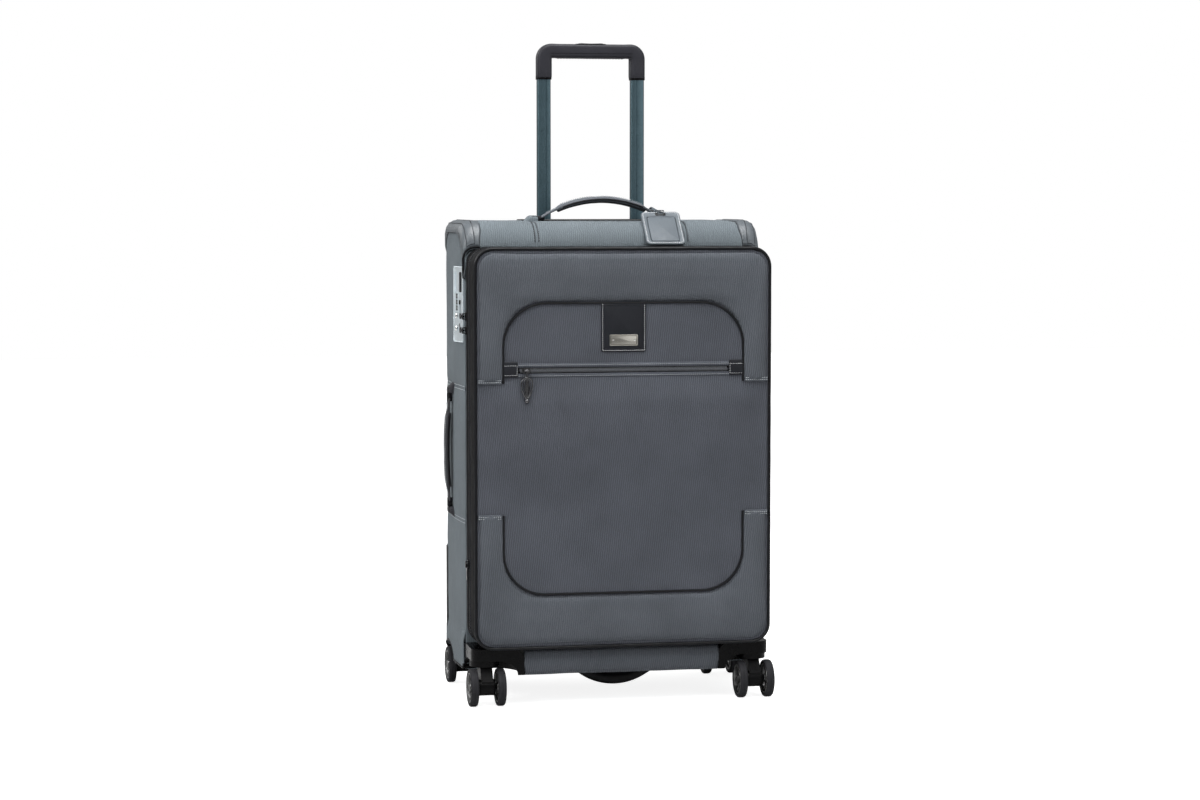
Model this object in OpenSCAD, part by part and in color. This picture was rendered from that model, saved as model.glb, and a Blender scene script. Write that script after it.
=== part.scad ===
// Softside upright suitcase on four swivelling twin-wheel casters, with a telescopic handle.
// Frame: +Z up, -Y is the front, the floor is z = 0 and the origin is midway between the caster pivots.

/* [Body] */
// Half width of the body at its front rim
body_half_w = 215; // [214:0.5:216]
// How far the soft side walls bulge past the rim
body_bulge = 4; // [2:0.5:4]
// Height of the flat top above the floor
body_top = 687; // [686:0.5:688]
// Height of the flat underside above the floor
body_bottom = 43; // [42.5:0.5:43.5]
// Front rim, where the main zip starts
rim_y = -42; // [-43:0.5:-42]
// Outer face of the back panel
back_y = 141; // [140.5:0.5:142]
// Radius of the front top edge, seen from the side
top_round = 38; // [37:0.5:39]
// Thickness of the padded fabric wall
wall = 4; // [3.5:0.5:4]

/* [Lid] */
// Half width of the lid's side wall
lid_half_w = 213.5; // [213:0.5:213.5]
// Top edge of the lid
lid_top = 650.5; // [649:0.5:651]
// Bottom edge of the lid
lid_bottom = 84; // [84:0.5:86]
// Front face of the lid's base sheet
lid_front_y = -124.5; // [-126:0.5:-123.5]
// Corner radius of the lid
lid_corner = 26; // [25:0.5:28]
// How far the padded borders stand proud of the base sheet
pad_rise = 2.5; // [1:0.5:4]

/* [Wheels] */
// Distance from the middle to a caster pivot, across the case
pivot_x = 196; // [195.5:0.5:196.5]
// Distance from the middle to a caster pivot, front to back
pivot_y = 88; // [87.5:0.5:88.5]
// Wheel radius over the tyre
wheel_r = 27; // [26:0.5:27]
// Tyre width
wheel_w = 11.5; // [10:0.5:12]
// Distance from the pivot to the axle
trail = 19; // [18:0.5:19]

/* [Telescopic handle] */
// Distance from the middle to each tube
tube_x = 71; // [68:0.5:74]
// Front to back position of the tubes
tube_y = 120.5; // [120:0.5:121]
// Top of the grip at rest, above the floor
grip_top = 951; // [945:1:960]
// Half width of the grip
grip_half_w = 82; // [80:1:83]

/* [Lock] */
// Height of the lock's middle above the floor
lock_z = 569.5; // [560:0.5:575]
// Height of the lock plate
lock_h = 109; // [104:1:112]
// Width of the lock plate
lock_w = 42; // [40:1:42]

/* [Front pocket] */
// Height of the pocket zip above the floor
pocket_zip_z = 479; // [478:0.5:484]
// Half length of the pocket zip, tabs included
pocket_half_w = 174; // [172:0.5:174.5]

/* [Hidden] */
$fn = 48;
bore_gap = 0.05;                          // radial running clearance of a pin in its bore
side_round = 15;                          // body's vertical back corners
edge_round = 14;                          // body's top corners, seen from the front
rear_round = 28;                          // body's rear top edge, seen from the side
inner_back_y = back_y - 37;               // false back of the lining, in front of the tubes
lining_t = 1.2;
lining_gap = 1.3;
lining_y0 = rim_y + 14;
mid_y = (rim_y + back_y) / 2;
toe_y = -112;
toe_top = 80;
housing_x = [142, 217];
housing_top = 82;
front_housing = [-114, -34];
rear_housing = [34, 142];
well_z = 64.5;                            // ceiling of the wheel wells
well_r = 51.5;
well_top_r = 30;
disc_z = [55.5, 64.1];
axle_r = 3;
kingpin_r = 5;
wheel_x = 19.7;                           // from the caster's middle to each wheel's middle
lid_z = (lid_top + lid_bottom) / 2;
lid_h = lid_top - lid_bottom;
zip_y = rim_y - 5;                        // parting line of the main zip
split_y = rim_y - 26;                     // parting line of the expansion zip
wall_front_y = lid_front_y + 2.3;
gusset_t = 1.2;
band_t = 2.5;
piping_r = 2.25;
piping_inset = 0.6;
tube_w = 20;
tube_d = 13;
outer_t = 2;
slip = 0.1;                               // gap all round a sliding tube
tube_low = 520;                           // lower end of the inner tubes at rest
travel_down = 262;
grip_low = grip_top - 50;
bar_low = grip_top - 21;
grip_d = 24;
cup_top = body_top + 0.5;
cup_floor = grip_low - travel_down - 1;
cup_y = [inner_back_y + 0.5, 137];
lock_at = [-219.5, -17];
lock_tilt = 10;
dial_z = [11.5, 3, -5.5];
dial_r = 4.5;
pin_r = 1.5;
base_handle_y = -46;
carry_y = 40;
carry_half = 91;
carry_rise = 28;
carry_axis = body_top + 5;
side_y = 50;
side_z = 354;
side_half = 77;
side_rise = 4.3;
side_axis = body_half_w + body_bulge + 4.2;
tag_x = 77;
tag_at = [-32.8, 677.7];                  // middle of the tag, front to back and height
tag_size = [58, 66, 4];
tag_tilt = 45;
crown_r = 0.9;                            // crown bar of every zip slider
crown_x = 5.8;
cross_x = 3.95;
expansion_stop_z = 199;                   // where the expansion slider rests, above the floor

// ---------- shared shapes ----------

// Rounded rectangle, centred.
module rounded(w, h, r) {
  square([w - 2 * r, h], center = true);
  square([w, h - 2 * r], center = true);
  for (sx = [-1, 1], sy = [-1, 1])
    translate([sx * (w / 2 - r), sy * (h / 2 - r)]) circle(r);
}

// Upright plate with rounded corners between two depths.
module plate_y(w, h, r, y0, y1, z, x = 0) {
  translate([x, max(y0, y1), z]) rotate([90, 0, 0])
    linear_extrude(abs(y1 - y0)) rounded(w, h, r);
}

// Upright frame that follows the lid's outline, inset from it.
module lid_frame(inset, t, y0, y1) {
  difference() {
    lid_plate(inset, y0, y1);
    lid_plate(inset + t, min(y0, y1) - 1, max(y0, y1) + 1);
  }
}

module lid_plate(inset, y0, y1) {
  plate_y(2 * (lid_half_w - inset), lid_h - 2 * inset, lid_corner - inset, y0, y1, lid_z);
}

// Square corner minus its round, for taking a radius r off a corner.
module corner_cut(r) {
  difference() {
    square(r + 2);
    circle(r);
  }
}

// Flat arch of a given half span, rise and thickness, standing on y = 0.
module arch(half, rise, t) {
  r = (half * half + rise * rise) / (2 * rise);
  facets = max(180, 4 * round(r / 6));
  intersection() {
    translate([0, rise - r]) difference() {
      circle(r + t / 2, $fn = facets);
      circle(r - t / 2, $fn = facets);
    }
    translate([-half - 1, 0]) square([2 * half + 2, rise + t]);
  }
}

// Flat circle segment of a given half span and rise, standing on y = 0.
module segment(half, rise) {
  r = (half * half + rise * rise) / (2 * rise);
  intersection() {
    translate([0, rise - r]) circle(r, $fn = 180);
    translate([-half - 1, 0]) square([2 * half + 2, rise + 1]);
  }
}

// ---------- body ----------

function half_w(y, grow) = body_half_w + grow
  + body_bulge * (1 - pow((y - mid_y) / (mid_y - rim_y), 2));

// Body outline from above, with slightly bulging sides and rounded back corners.
module body_plan(grow) {
  steps = 8;
  y0 = rim_y - grow;
  y1 = back_y + grow;
  ys = [for (i = [0 : steps]) y0 + (y1 - y0) * i / steps];
  r = side_round + grow;
  xb = half_w(y1 - r, grow) - r;
  difference() {
    polygon(concat([for (y = ys) [half_w(y, grow), y]],
      [for (i = [steps : -1 : 0]) [-half_w(ys[i], grow), ys[i]]]));
    for (s = [-1, 1]) translate([s * xb, y1 - r]) scale([s, 1]) corner_cut(r);
  }
}

// Body outline from the side; the first axis is depth, the second height.
module body_side(grow) {
  z0 = body_bottom - grow;
  z1 = body_top + grow;
  y0 = rim_y - grow;
  y1 = back_y + grow;
  rf = top_round + grow;
  rr = rear_round + grow;
  difference() {
    translate([y0, z0]) square([y1 - y0, z1 - z0]);
    translate([y1 - rr, z1 - rr]) corner_cut(rr);
    translate([y0 + rf, z1 - rf]) scale([-1, 1]) corner_cut(rf);
    translate([y1 - rr, z0 + rr]) scale([1, -1]) corner_cut(rr);
  }
}

// The body as a full solid, grown by a distance.
module body_solid(grow) {
  intersection() {
    linear_extrude(900) body_plan(grow);
    rotate([90, 0, 90]) translate([0, 0, -300]) linear_extrude(600) body_side(grow);
    translate([0, 300, (body_top + body_bottom) / 2]) rotate([90, 0, 0]) linear_extrude(600)
      rounded(2 * (body_half_w + body_bulge + grow), body_top - body_bottom + 2 * grow, edge_round + grow);
  }
}

// Space the four caster housings take, grown by a distance.
module housing_space(grow) {
  for (s = [-1, 1], h = [front_housing, rear_housing])
    translate([s > 0 ? housing_x[0] - grow : -housing_x[1] - 20, h[0] - grow - (h[0] < 0 ? 10 : 0), 20])
      cube([housing_x[1] + 20 - housing_x[0] + grow, h[1] - h[0] + 2 * grow + 10, housing_top + grow - 20]);
}

// Inside of the body down to the false back, kept clear of the housings.
module cavity(inset, rear) {
  difference() {
    intersection() {
      body_solid(-inset);
      translate([-300, rim_y, 0]) cube([600, rear - rim_y, 700]);
    }
    housing_space(inset - wall);
  }
}

module lock_place() {
  translate([lock_at[0], lock_at[1], lock_z]) rotate([0, 0, lock_tilt]) children();
}

module shell_fabric() {
  color("dimgray") difference() {
    union() {
      body_solid(0);
      translate([-housing_x[0], toe_y, body_bottom])
        cube([2 * housing_x[0], rim_y - toe_y + 2, toe_top - body_bottom]);
    }
    body_solid(-wall);
    lid_plate(3, rim_y - 10, rim_y + 10);
    translate([-housing_x[0] + 4, toe_y + 4, body_bottom + 4])
      cube([2 * housing_x[0] - 8, rim_y - toe_y + 2, toe_top - body_bottom - 8]);
    housing_space(0);
    translate([-106, cup_y[0], body_top - 80]) cube([212, cup_y[1] - cup_y[0], 100]);
    lock_place() translate([-10, -lock_w / 2, -lock_h / 2]) cube([30, lock_w, lock_h]);
  }
}

module lining() {
  inset = wall + lining_gap;
  color("slategray") difference() {
    cavity(inset, inner_back_y);
    cavity(inset + lining_t, inner_back_y - lining_t);
    translate([-300, rim_y - 1, 0]) cube([600, lining_y0 - rim_y + 1, 700]);
    lock_place() translate([-5, -lock_w / 2 - 3, -lock_h / 2 - 3]) cube([30, lock_w + 6, lock_h + 6]);
  }
}

module stiffener_boards() {
  color("gray") {
    plate_y(380, 520, 20, back_y - wall - 3.4, back_y - wall - 0.1, 368);
    translate([-124, -28, body_bottom + wall + 0.1]) cube([248, 125, 1]);
  }
}

// Moulded caps that wrap the two top corners from front to back.
module corner_guards() {
  color("dimgray") for (s = [-1, 1]) intersection() {
    difference() {
      body_solid(2.2);
      body_solid(0);
    }
    translate([s > 0 ? 189 : -240, rim_y, body_top - 37]) cube([51, 240, 60]);
    translate([s > 0 ? 180 : -240, 0, 0]) rotate([90, 0, 90]) linear_extrude(60) difference() {
      translate([rim_y - 10, body_top - 60]) square([220, 90]);
      translate([mid_y, body_top - 55]) rounded(130, 84, 20);
    }
  }
}

// Hard guard across the lower back.
module kick_plate() {
  color("black") difference() {
    translate([0, 0, 84]) linear_extrude(120) difference() {
      body_plan(2.6);
      body_plan(0);
      translate([-300, -200]) square([600, 306]);
    }
    for (s = [-1, 1], z = [100, 188])
      translate([s * 180, 200, z]) rotate([90, 0, 0]) cylinder(r = 2.5, h = 100);
  }
}

// Grab handle sewn under the base.
module bottom_handle() {
  w = 34;
  color("black") translate([0, base_handle_y + w / 2, body_bottom]) rotate([90, 0, 0]) linear_extrude(w)
    mirror([0, 1]) difference() {
      segment(62, 26);
      translate([0, -1]) segment(46, 11);
    }
}

// ---------- casters ----------

module housing_screws(side, depth) {
  for (k = [0.3, 0.7])
    translate([side * (housing_x[0] + 6), depth[0] + k * (depth[1] - depth[0]), 65]) children();
}

// Wheel well under a caster housing: a domed space round the pivot.
module wheel_well() {
  steps = 8;
  rotate_extrude($fn = 72) polygon(concat([[0, body_bottom]],
    [for (i = [0 : steps]) [well_top_r + (well_r - well_top_r) * cos(90 * i / steps),
      body_bottom + (well_z - body_bottom) * sin(90 * i / steps)]],
    [[0, well_z]]));
}

// One moulded corner housing with its wheel well.
module housing(side, end) {
  depth = end < 0 ? front_housing : rear_housing;
  w = housing_x[1] - housing_x[0];
  corner = 16;
  shoulder = 16;
  difference() {
    intersection() {
      scale([side, 1, 1]) linear_extrude(housing_top) difference() {
        translate([housing_x[0], depth[0]]) square([w, depth[1] - depth[0]]);
        translate([housing_x[1] - corner, end < 0 ? depth[0] + corner : depth[1] - corner])
          scale([1, end]) corner_cut(corner);
      }
      scale([side, 1, 1]) rotate([90, 0, 0]) translate([0, 0, -200]) linear_extrude(400) difference() {
        translate([housing_x[0], body_bottom + 1]) square([w, housing_top - body_bottom - 1]);
        translate([housing_x[0] + shoulder, housing_top - shoulder]) scale([-1, 1]) corner_cut(shoulder);
      }
    }
    translate([side * pivot_x, end * pivot_y, 0]) wheel_well();
    translate([side * pivot_x, end * pivot_y, body_bottom]) cylinder(r = kingpin_r, h = 35);
    housing_screws(side, depth) translate([0, 0, -40]) cylinder(r = 2, h = 60);
  }
}

module caster_housings() { color("black") for (s = [-1, 1], e = [-1, 1]) housing(s, e); }

// Kingpins pressed into the housings, and the housings' screws.
module housing_fasteners() {
  color("silver") {
    for (s = [-1, 1], e = [-1, 1]) translate([s * pivot_x, e * pivot_y, 0]) {
      translate([0, 0, 45]) cylinder(r = kingpin_r, h = 33);
      translate([0, 0, 42.5]) cylinder(r = 7.5, h = 2.5);
    }
    for (s = [-1, 1], h = [front_housing, rear_housing])
      housing_screws(s, h) translate([0, 0, -15]) cylinder(r = 2, h = 25);
  }
}

module caster_place(side, end) {
  translate([side * pivot_x, end * pivot_y, 0]) scale([1, end < 0 ? 1 : -1, 1]) children();
}

// Swivelling fork with its pressed axle, trailing towards the nearer end of the case.
module fork() {
  color("black") union() {
    difference() {
      union() {
        translate([0, 0, disc_z[0]]) cylinder(r = 21, h = disc_z[1] - disc_z[0]);
        translate([-8.5, 0, 0]) rotate([90, 0, 90]) linear_extrude(17)
          polygon([[-16, disc_z[0] + 1], [16, disc_z[0] + 1], [11, 40], [-trail + 10, wheel_r],
            [-trail - 8, wheel_r], [-trail - 10, 36]]);
        translate([-11.5, -trail, wheel_r]) rotate([0, 90, 0]) cylinder(r = 11.5, h = 23);
      }
      translate([0, 0, 45]) cylinder(r = kingpin_r + bore_gap, h = 30);
      translate([0, 0, 38]) cylinder(r = 7.7, h = 7.1);
    }
    translate([-wheel_x - 5, -trail, wheel_r]) rotate([0, 90, 0]) cylinder(r = axle_r, h = 2 * wheel_x + 10);
  }
}

// Spoked rim with its moulded-on tyre, side is the wheel's side of the fork.
module wheel(side) {
  rim_r = wheel_r - 5;
  color("silver") translate([side * wheel_x, -trail, wheel_r]) rotate([0, 90, 0]) difference() {
    union() {
      rotate_extrude($fn = 72) polygon([[rim_r - 3, 2 - wheel_w / 2], [rim_r, 1 - wheel_w / 2],
        [wheel_r - 3, -wheel_w / 2], [wheel_r - 0.8, 1.6 - wheel_w / 2], [wheel_r, 3.6 - wheel_w / 2],
        [wheel_r, wheel_w / 2 - 3.6], [wheel_r - 0.8, wheel_w / 2 - 1.6], [wheel_r - 3, wheel_w / 2],
        [rim_r, wheel_w / 2 - 1], [rim_r - 3, wheel_w / 2 - 2]]);
      cylinder(r = 6.5, h = wheel_w - 1, center = true);
      for (a = [0 : 60 : 300]) rotate([0, 0, a]) translate([5, -1.6, -3]) cube([rim_r - 7, 3.2, 6]);
    }
    cylinder(r = axle_r + bore_gap, h = wheel_w + 2, center = true);
  }
}

// ---------- telescopic handle ----------

module tube_pair(w, d, z0, z1) {
  for (s = [-1, 1]) translate([s * tube_x - w / 2, tube_y - d / 2, z0]) cube([w, d, z1 - z0]);
}

module outer_tubes() {
  w = tube_w + 2 * slip;
  d = tube_d + 2 * slip;
  color("lightgray") difference() {
    tube_pair(w + 2 * outer_t, d + 2 * outer_t, 58, cup_floor - 3);
    tube_pair(w, d, 61, cup_floor);
    for (s = [-1, 1], z = [tube_low - travel_down + 12, tube_low + 102])
      translate([s * tube_x, tube_y, z]) rotate([0, s * 90, 0]) cylinder(r = 3.2, h = 20);
  }
}

// Recessed cup in the top, where the lowered grip nests.
module tube_cup() {
  w = tube_w + 2 * slip;
  d = tube_d + 2 * slip;
  color("black") difference() {
    translate([-106, cup_y[0], cup_floor - 3]) cube([212, cup_y[1] - cup_y[0], cup_top - cup_floor + 3]);
    translate([-grip_half_w - 1.5, tube_y - grip_d / 2 - 1.5, cup_floor])
      cube([2 * grip_half_w + 3, grip_d + 3, 80]);
    tube_pair(w, d, cup_floor - 10, cup_floor + 1);
  }
}

module inner_tubes() {
  color("cadetblue") difference() {
    tube_pair(tube_w, tube_d, tube_low, bar_low + 6);
    tube_pair(tube_w - 3, tube_d - 3, tube_low - 1, bar_low + 7);
    for (s = [-1, 1]) translate([s * (tube_x + tube_w / 2 - 2), tube_y, tube_low + 12])
      rotate([0, s * 90, 0]) cylinder(r = 3 + bore_gap, h = 10);
    for (s = [-1, 1]) translate([s * tube_x - 4, tube_y - tube_d / 2 - 1, tube_low - 1])
      cube([3, 1.6, bar_low - tube_low + 30]);
  }
}

module grip() {
  w = 2 * grip_half_w;
  color("black") difference() {
    translate([0, tube_y + grip_d / 2, 0]) rotate([90, 0, 0]) linear_extrude(grip_d) difference() {
      translate([0, grip_top - 30]) rounded(w, 60, 15);
      translate([-w / 2 - 1, grip_low - 20]) square([w + 2, 20]);
      translate([0, bar_low - 30]) rounded(w - 46, 60, 10);
    }
    tube_pair(tube_w, tube_d, grip_low - 1, bar_low + 6);
    tube_pair(tube_w - 3, tube_d - 3, bar_low, bar_low + 12);
    translate([-21, tube_y - 8, grip_top - 9]) cube([42, 16, 10]);
    translate([-tube_x - 6, tube_y - 3.5, grip_top - 14]) cube([2 * tube_x + 12, 7, 5.5]);
  }
}

// Button in the middle of the grip's bar; its wings press the two rods.
module release_button() {
  color("dimgray") {
    translate([-20.5, tube_y - 7.5, grip_top - 8.4 + 3.6]) cube([41, 15, 6.3]);
    translate([-10, tube_y - 3, grip_top - 9.6]) cube([20, 6, 5]);
  }
}

module push_rods() {
  color("silver") for (s = [-1, 1]) {
    translate([s * tube_x, tube_y, tube_low + 22])
      cylinder(r = 2, h = grip_top - 9.8 - tube_low - 22, $fn = 24);
    translate([s > 0 ? 10 : -tube_x, tube_y - 2, grip_top - 9.8]) cube([tube_x - 10, 4, 1]);
  }
}

module latch_pin(side) {
  color("gold") translate([side * tube_x, tube_y, tube_low + 12]) rotate([0, side * 90, 0]) union() {
    translate([0, 0, 1]) cylinder(r = 3, h = tube_w / 2 - 1);
    translate([0, 0, 1]) cylinder(r = 4, h = 3);
  }
}

// ---------- lock ----------

module lock_plate() {
  color("silver") lock_place() {
    difference() {
      union() {
        translate([-1.5, -lock_w / 2, -lock_h / 2]) cube([3, lock_w, lock_h]);
        translate([1.5, -13, -40]) cube([6.5, 26, 70]);
      }
      translate([-2, 1.6, dial_z[2] - 4.4]) cube([8.6, 2 * dial_r + 1.2, dial_z[0] - dial_z[2] + 8.8]);
      translate([-2, -9.5, -16.5]) cube([4.4, 4.6, 23]);
      translate([-2, -6, -30]) rotate([0, 90, 0]) cylinder(r = 3 + bore_gap, h = 6);
      translate([-2, 6, 18]) cube([1.8, 10, 28]);
      for (z = [44, 35]) translate([-2, -12, z]) rotate([0, 90, 0]) cylinder(r = 1.8, h = 1.5);
      for (z = [-17, -35]) translate([-2, 5, z]) rotate([0, 90, 0]) cylinder(r = 3.4, h = 1.5);
    }
    translate([2, 1.6 + dial_r + 0.6, dial_z[2] - 4.5]) cylinder(r = pin_r, h = dial_z[0] - dial_z[2] + 9);
  }
}

// Ten-sided number wheel on the lock's spindle.
module dial(z) {
  color("black") lock_place() translate([2, 1.6 + dial_r + 0.6, z - 3.6]) difference() {
    cylinder(r = dial_r, h = 7.2, $fn = 20);
    translate([0, 0, -1]) cylinder(r = pin_r + bore_gap, h = 10);
  }
}

module lock_slider() {
  color("black") lock_place() translate([-2.6, -9.1, 0]) cube([4.6, 3.8, 6]);
}

module key_cylinder() {
  color("gray") lock_place() difference() {
    translate([-2, -6, -30]) rotate([0, 90, 0]) cylinder(r = 3, h = 5.5);
    translate([-2.5, -8, -30.4]) cube([1.5, 4, 0.8]);
  }
}

// ---------- handles and tag ----------

// Padded strap handle, lying in the plane of x and z, on pins along x.
module strap_handle(half, rise, t, w, narrow) {
  difference() {
    union() {
      translate([0, narrow, 0]) rotate([90, 0, 0]) linear_extrude(2 * narrow) arch(half, rise, t);
      intersection() {
        translate([0, w / 2, 0]) rotate([90, 0, 0]) linear_extrude(w) arch(half, rise, t);
        translate([-half * 0.68, -w, 0]) cube([half * 1.36, 2 * w, rise + t]);
      }
      for (s = [-1, 1])
        translate([s > 0 ? half - 6 : -half - 6, 0, 0]) rotate([0, 90, 0]) cylinder(r = 4, h = 12);
    }
    for (s = [-1, 1]) translate([s > 0 ? half - 12 : -half - 12, 0, 0])
      rotate([0, 90, 0]) cylinder(r = pin_r + bore_gap, h = 24);
  }
}

// Bracket and pin at both ends of a strap handle.
module handle_ends(half, base) {
  for (s = [-1, 1]) {
    translate([s > 0 ? half + 6.3 : -half - 14.3, -8, -base]) cube([8, 16, base + 4]);
    translate([s > 0 ? half - 5 : -half - 8, 0, 0]) rotate([0, 90, 0]) cylinder(r = pin_r, h = 13);
  }
}

module carry_place() { translate([0, carry_y, carry_axis]) children(); }

module side_place() { translate([-side_axis, side_y, side_z]) rotate([0, -90, 0]) children(); }

module handle_mounts() {
  color("black") {
    carry_place() handle_ends(carry_half, 5);
    difference() {
      side_place() handle_ends(side_half, 7);
      body_solid(0);
    }
  }
}

module carry_handle() { color("gray") carry_place() strap_handle(carry_half, carry_rise, 9, 30, 9); }

module side_handle() { color("gray") side_place() strap_handle(side_half, side_rise, 9, 26, 9); }

module tag_place() { translate([tag_x, tag_at[0], tag_at[1]]) rotate([tag_tilt, 0, 0]) children(); }

// Leather tag; its local y runs up the slope towards the handle.
module luggage_tag() {
  w = tag_size[0];
  h = tag_size[1];
  color("darkgray") tag_place() union() {
    difference() {
      translate([0, 0, -tag_size[2] / 2]) linear_extrude(tag_size[2]) rounded(w, h, 6);
      translate([-8, h / 2 - 10, -5]) cube([16, 12, 10]);
      translate([0, -4, tag_size[2] / 2 - 0.8]) linear_extrude(2) rounded(42, 42, 3);
    }
    translate([-9, h / 2 - 4, 0]) rotate([0, 90, 0]) cylinder(r = 1.2, h = 18);
  }
}

module tag_strap() {
  slope = 28.4;
  hinge_y = tag_at[0] + (tag_size[1] / 2 - 4) * cos(tag_tilt);
  hinge_z = tag_at[1] + (tag_size[1] / 2 - 4) * sin(tag_tilt);
  color("gray") difference() {
    union() {
      translate([tag_x, carry_y, carry_axis + 8.5]) rotate([0, slope, 0]) difference() {
        translate([-4, -11, -6.8]) cube([8, 22, 13.6]);
        translate([-5, -9.5, -5.3]) cube([10, 19, 10.6]);
      }
      translate([tag_x - 5, 0, 0]) rotate([90, 0, 90]) linear_extrude(10)
        polygon([[carry_y - 10, carry_axis + 2.5], [carry_y - 10, carry_axis + 5.5],
          [hinge_y, hinge_z + 2.4], [hinge_y, hinge_z - 0.5]]);
      translate([tag_x - 5, hinge_y, hinge_z]) rotate([0, 90, 0]) cylinder(r = 2.6, h = 10);
    }
    translate([tag_x - 7, hinge_y, hinge_z]) rotate([0, 90, 0]) cylinder(r = 1.2 + bore_gap, h = 14);
  }
}

// ---------- lid ----------

module rim_band() {
  color("black") lid_frame(0, band_t, zip_y - 0.2, split_y + 0.3);
}

module expansion_gusset() {
  color("black") lid_frame(band_t, gusset_t, zip_y - 4, -112);
}

module lid_side_wall() {
  color("black") lid_frame(0, 2, split_y - 0.3, wall_front_y);
}

// Rounded cord between the front panel and the side wall.
module lid_piping() {
  c = lid_corner - piping_inset;
  w = lid_half_w - piping_inset;
  h = lid_h / 2 - piping_inset;
  color("black") translate([0, lid_front_y, lid_z]) rotate([90, 0, 0]) {
    for (s = [-1, 1]) {
      translate([s * w, -h + c, 0]) rotate([-90, 0, 0]) cylinder(r = piping_r, h = 2 * h - 2 * c, $fn = 24);
      translate([-w + c, s * h, 0]) rotate([0, 90, 0]) cylinder(r = piping_r, h = 2 * w - 2 * c, $fn = 24);
    }
    for (k = [0 : 3]) translate([(k % 3 == 0 ? 1 : -1) * (w - c), (k < 2 ? 1 : -1) * (h - c), 0])
      rotate([0, 0, 90 * k]) rotate_extrude(angle = 90) translate([c, 0]) circle(piping_r, $fn = 24);
  }
}

// Arched window of the padded upper border: half width, from z0 up to z1, top corners rounded.
module window(half, z0, z1, r) {
  translate([0, (z0 + z1) / 2]) intersection() {
    translate([0, -r]) rounded(2 * half, z1 - z0 + 2 * r, r);
    square([2 * half, z1 - z0], center = true);
  }
}

module front_face(y0, y1) { translate([0, y0, 0]) rotate([90, 0, 0]) linear_extrude(y0 - y1) children(); }

// Centre panel with the padded borders above and below it.
module front_panel() {
  inset = 2.9;
  half = lid_half_w - inset;
  color("dimgray") difference() {
    union() {
      lid_plate(2, wall_front_y + 2.5, wall_front_y + 0.05);
      lid_plate(inset, wall_front_y + 0.1, lid_front_y);
      intersection() {
        lid_plate(inset, lid_front_y + 0.1, lid_front_y - pad_rise);
        front_face(0, -200) difference() {
          union() {
            translate([-half, 460]) square([2 * half, 240]);
            translate([-half, 60]) square([2 * half, 215]);
          }
          window(175, 455, 573.5, 62);
          mirror([0, 1]) window(175, -280, -161, 60);
        }
      }
    }
    translate([-150, lid_front_y - 5, pocket_zip_z - 1.5]) cube([300, 20, 3]);
  }
}

module lid_lining() {
  inset = band_t + gusset_t + 1.8;
  color("slategray") {
    lid_plate(inset, -104, -105.2);
    lid_frame(inset, 1.2, -104, wall_front_y + 2.5);
  }
}

module pocket_zip_tape() {
  half = pocket_half_w - 21;
  color("black") difference() {
    plate_y(2 * half, 18, 1, lid_front_y, lid_front_y - 0.9, pocket_zip_z);
    translate([-half + 4, lid_front_y - 3, pocket_zip_z - 0.4]) cube([2 * half - 8, 6, 0.8]);
  }
}

module pocket_tabs() {
  color("black") for (s = [-1, 1])
    plate_y(20.6, 21, 2, lid_front_y, lid_front_y - 2.2, pocket_zip_z + 1.5, s * (pocket_half_w - 10.5));
}

module badge_patch() {
  color("black") plate_y(65, 69, 5, lid_front_y, lid_front_y - 2, 538.7, -1);
}

module badge_plate() {
  color("silver") difference() {
    plate_y(41, 16, 2, lid_front_y - 2, lid_front_y - 3.4, 521, -1);
    plate_y(37, 12, 1, lid_front_y - 2.9, lid_front_y - 4, 521, -1);
  }
}

module main_zip_tape() {
  color("black") lid_frame(0, 3, rim_y, zip_y + 0.2);
}

module packing_straps() {
  y1 = inner_back_y - lining_t - 0.2;
  color("black") {
    for (s = [-1, 1]) translate([s * 60, 0, 0]) rotate([0, s * 12, 0]) translate([-12.5, y1 - 1.6, 110])
      cube([25, 1.6, 480]);
    plate_y(60, 40, 6, y1 - 1.6, y1 - 7, 360);
  }
}

// ---------- zip sliders ----------

// Slider body with a round crown bar; local +x is outwards and z runs along the zip.
module slider_body() {
  translate([0.4, 0, 0]) rotate([90, 0, 90]) linear_extrude(2.6) rounded(8, 12, 3);
  for (s = [-1, 1]) translate([2.9, -1.5, s > 0 ? 3 : -4.5]) cube([3.8, 3, 1.5]);
  translate([crown_x, 0, -4.2]) cylinder(r = crown_r, h = 8.4, $fn = 24);
}

// Eye that turns on the crown bar, its arm reaching along local +z of a slider lying on its side.
module crown_eye() {
  difference() {
    union() {
      cylinder(r = 2.4, h = 2.6, center = true, $fn = 32);
      translate([-0.7, 1.2, -1.3]) cube([1.4, 4.8, 2.6]);
    }
    cylinder(r = crown_r + bore_gap, h = 6, center = true, $fn = 32);
  }
}

// Short pull that turns on the crown bar, reaching along +y.
module docked_puller(z) {
  color("silver") side_zip_place(zip_y, z) translate([crown_x, 0, 0]) rotate([0, 0, 184]) {
    crown_eye();
    translate([-0.7, 0, 0]) rotate([90, 0, 90]) linear_extrude(1.4) difference() {
      union() {
        translate([4, -1.8]) square([11, 3.6]);
        translate([15, 0]) circle(4.4);
      }
      translate([15, 0]) circle(2.4);
    }
  }
}

module side_zip_place(y, z) { translate([-lid_half_w, y, z]) rotate([0, 0, 180]) children(); }

module upper_slider() { color("silver") side_zip_place(zip_y, 553) slider_body(); }

module lower_slider() { color("silver") side_zip_place(zip_y, 533) slider_body(); }

module upper_puller() { docked_puller(553); }

module lower_puller() { docked_puller(533); }

module expansion_slider() { color("silver") side_zip_place(split_y, expansion_stop_z) slider_body(); }

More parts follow.
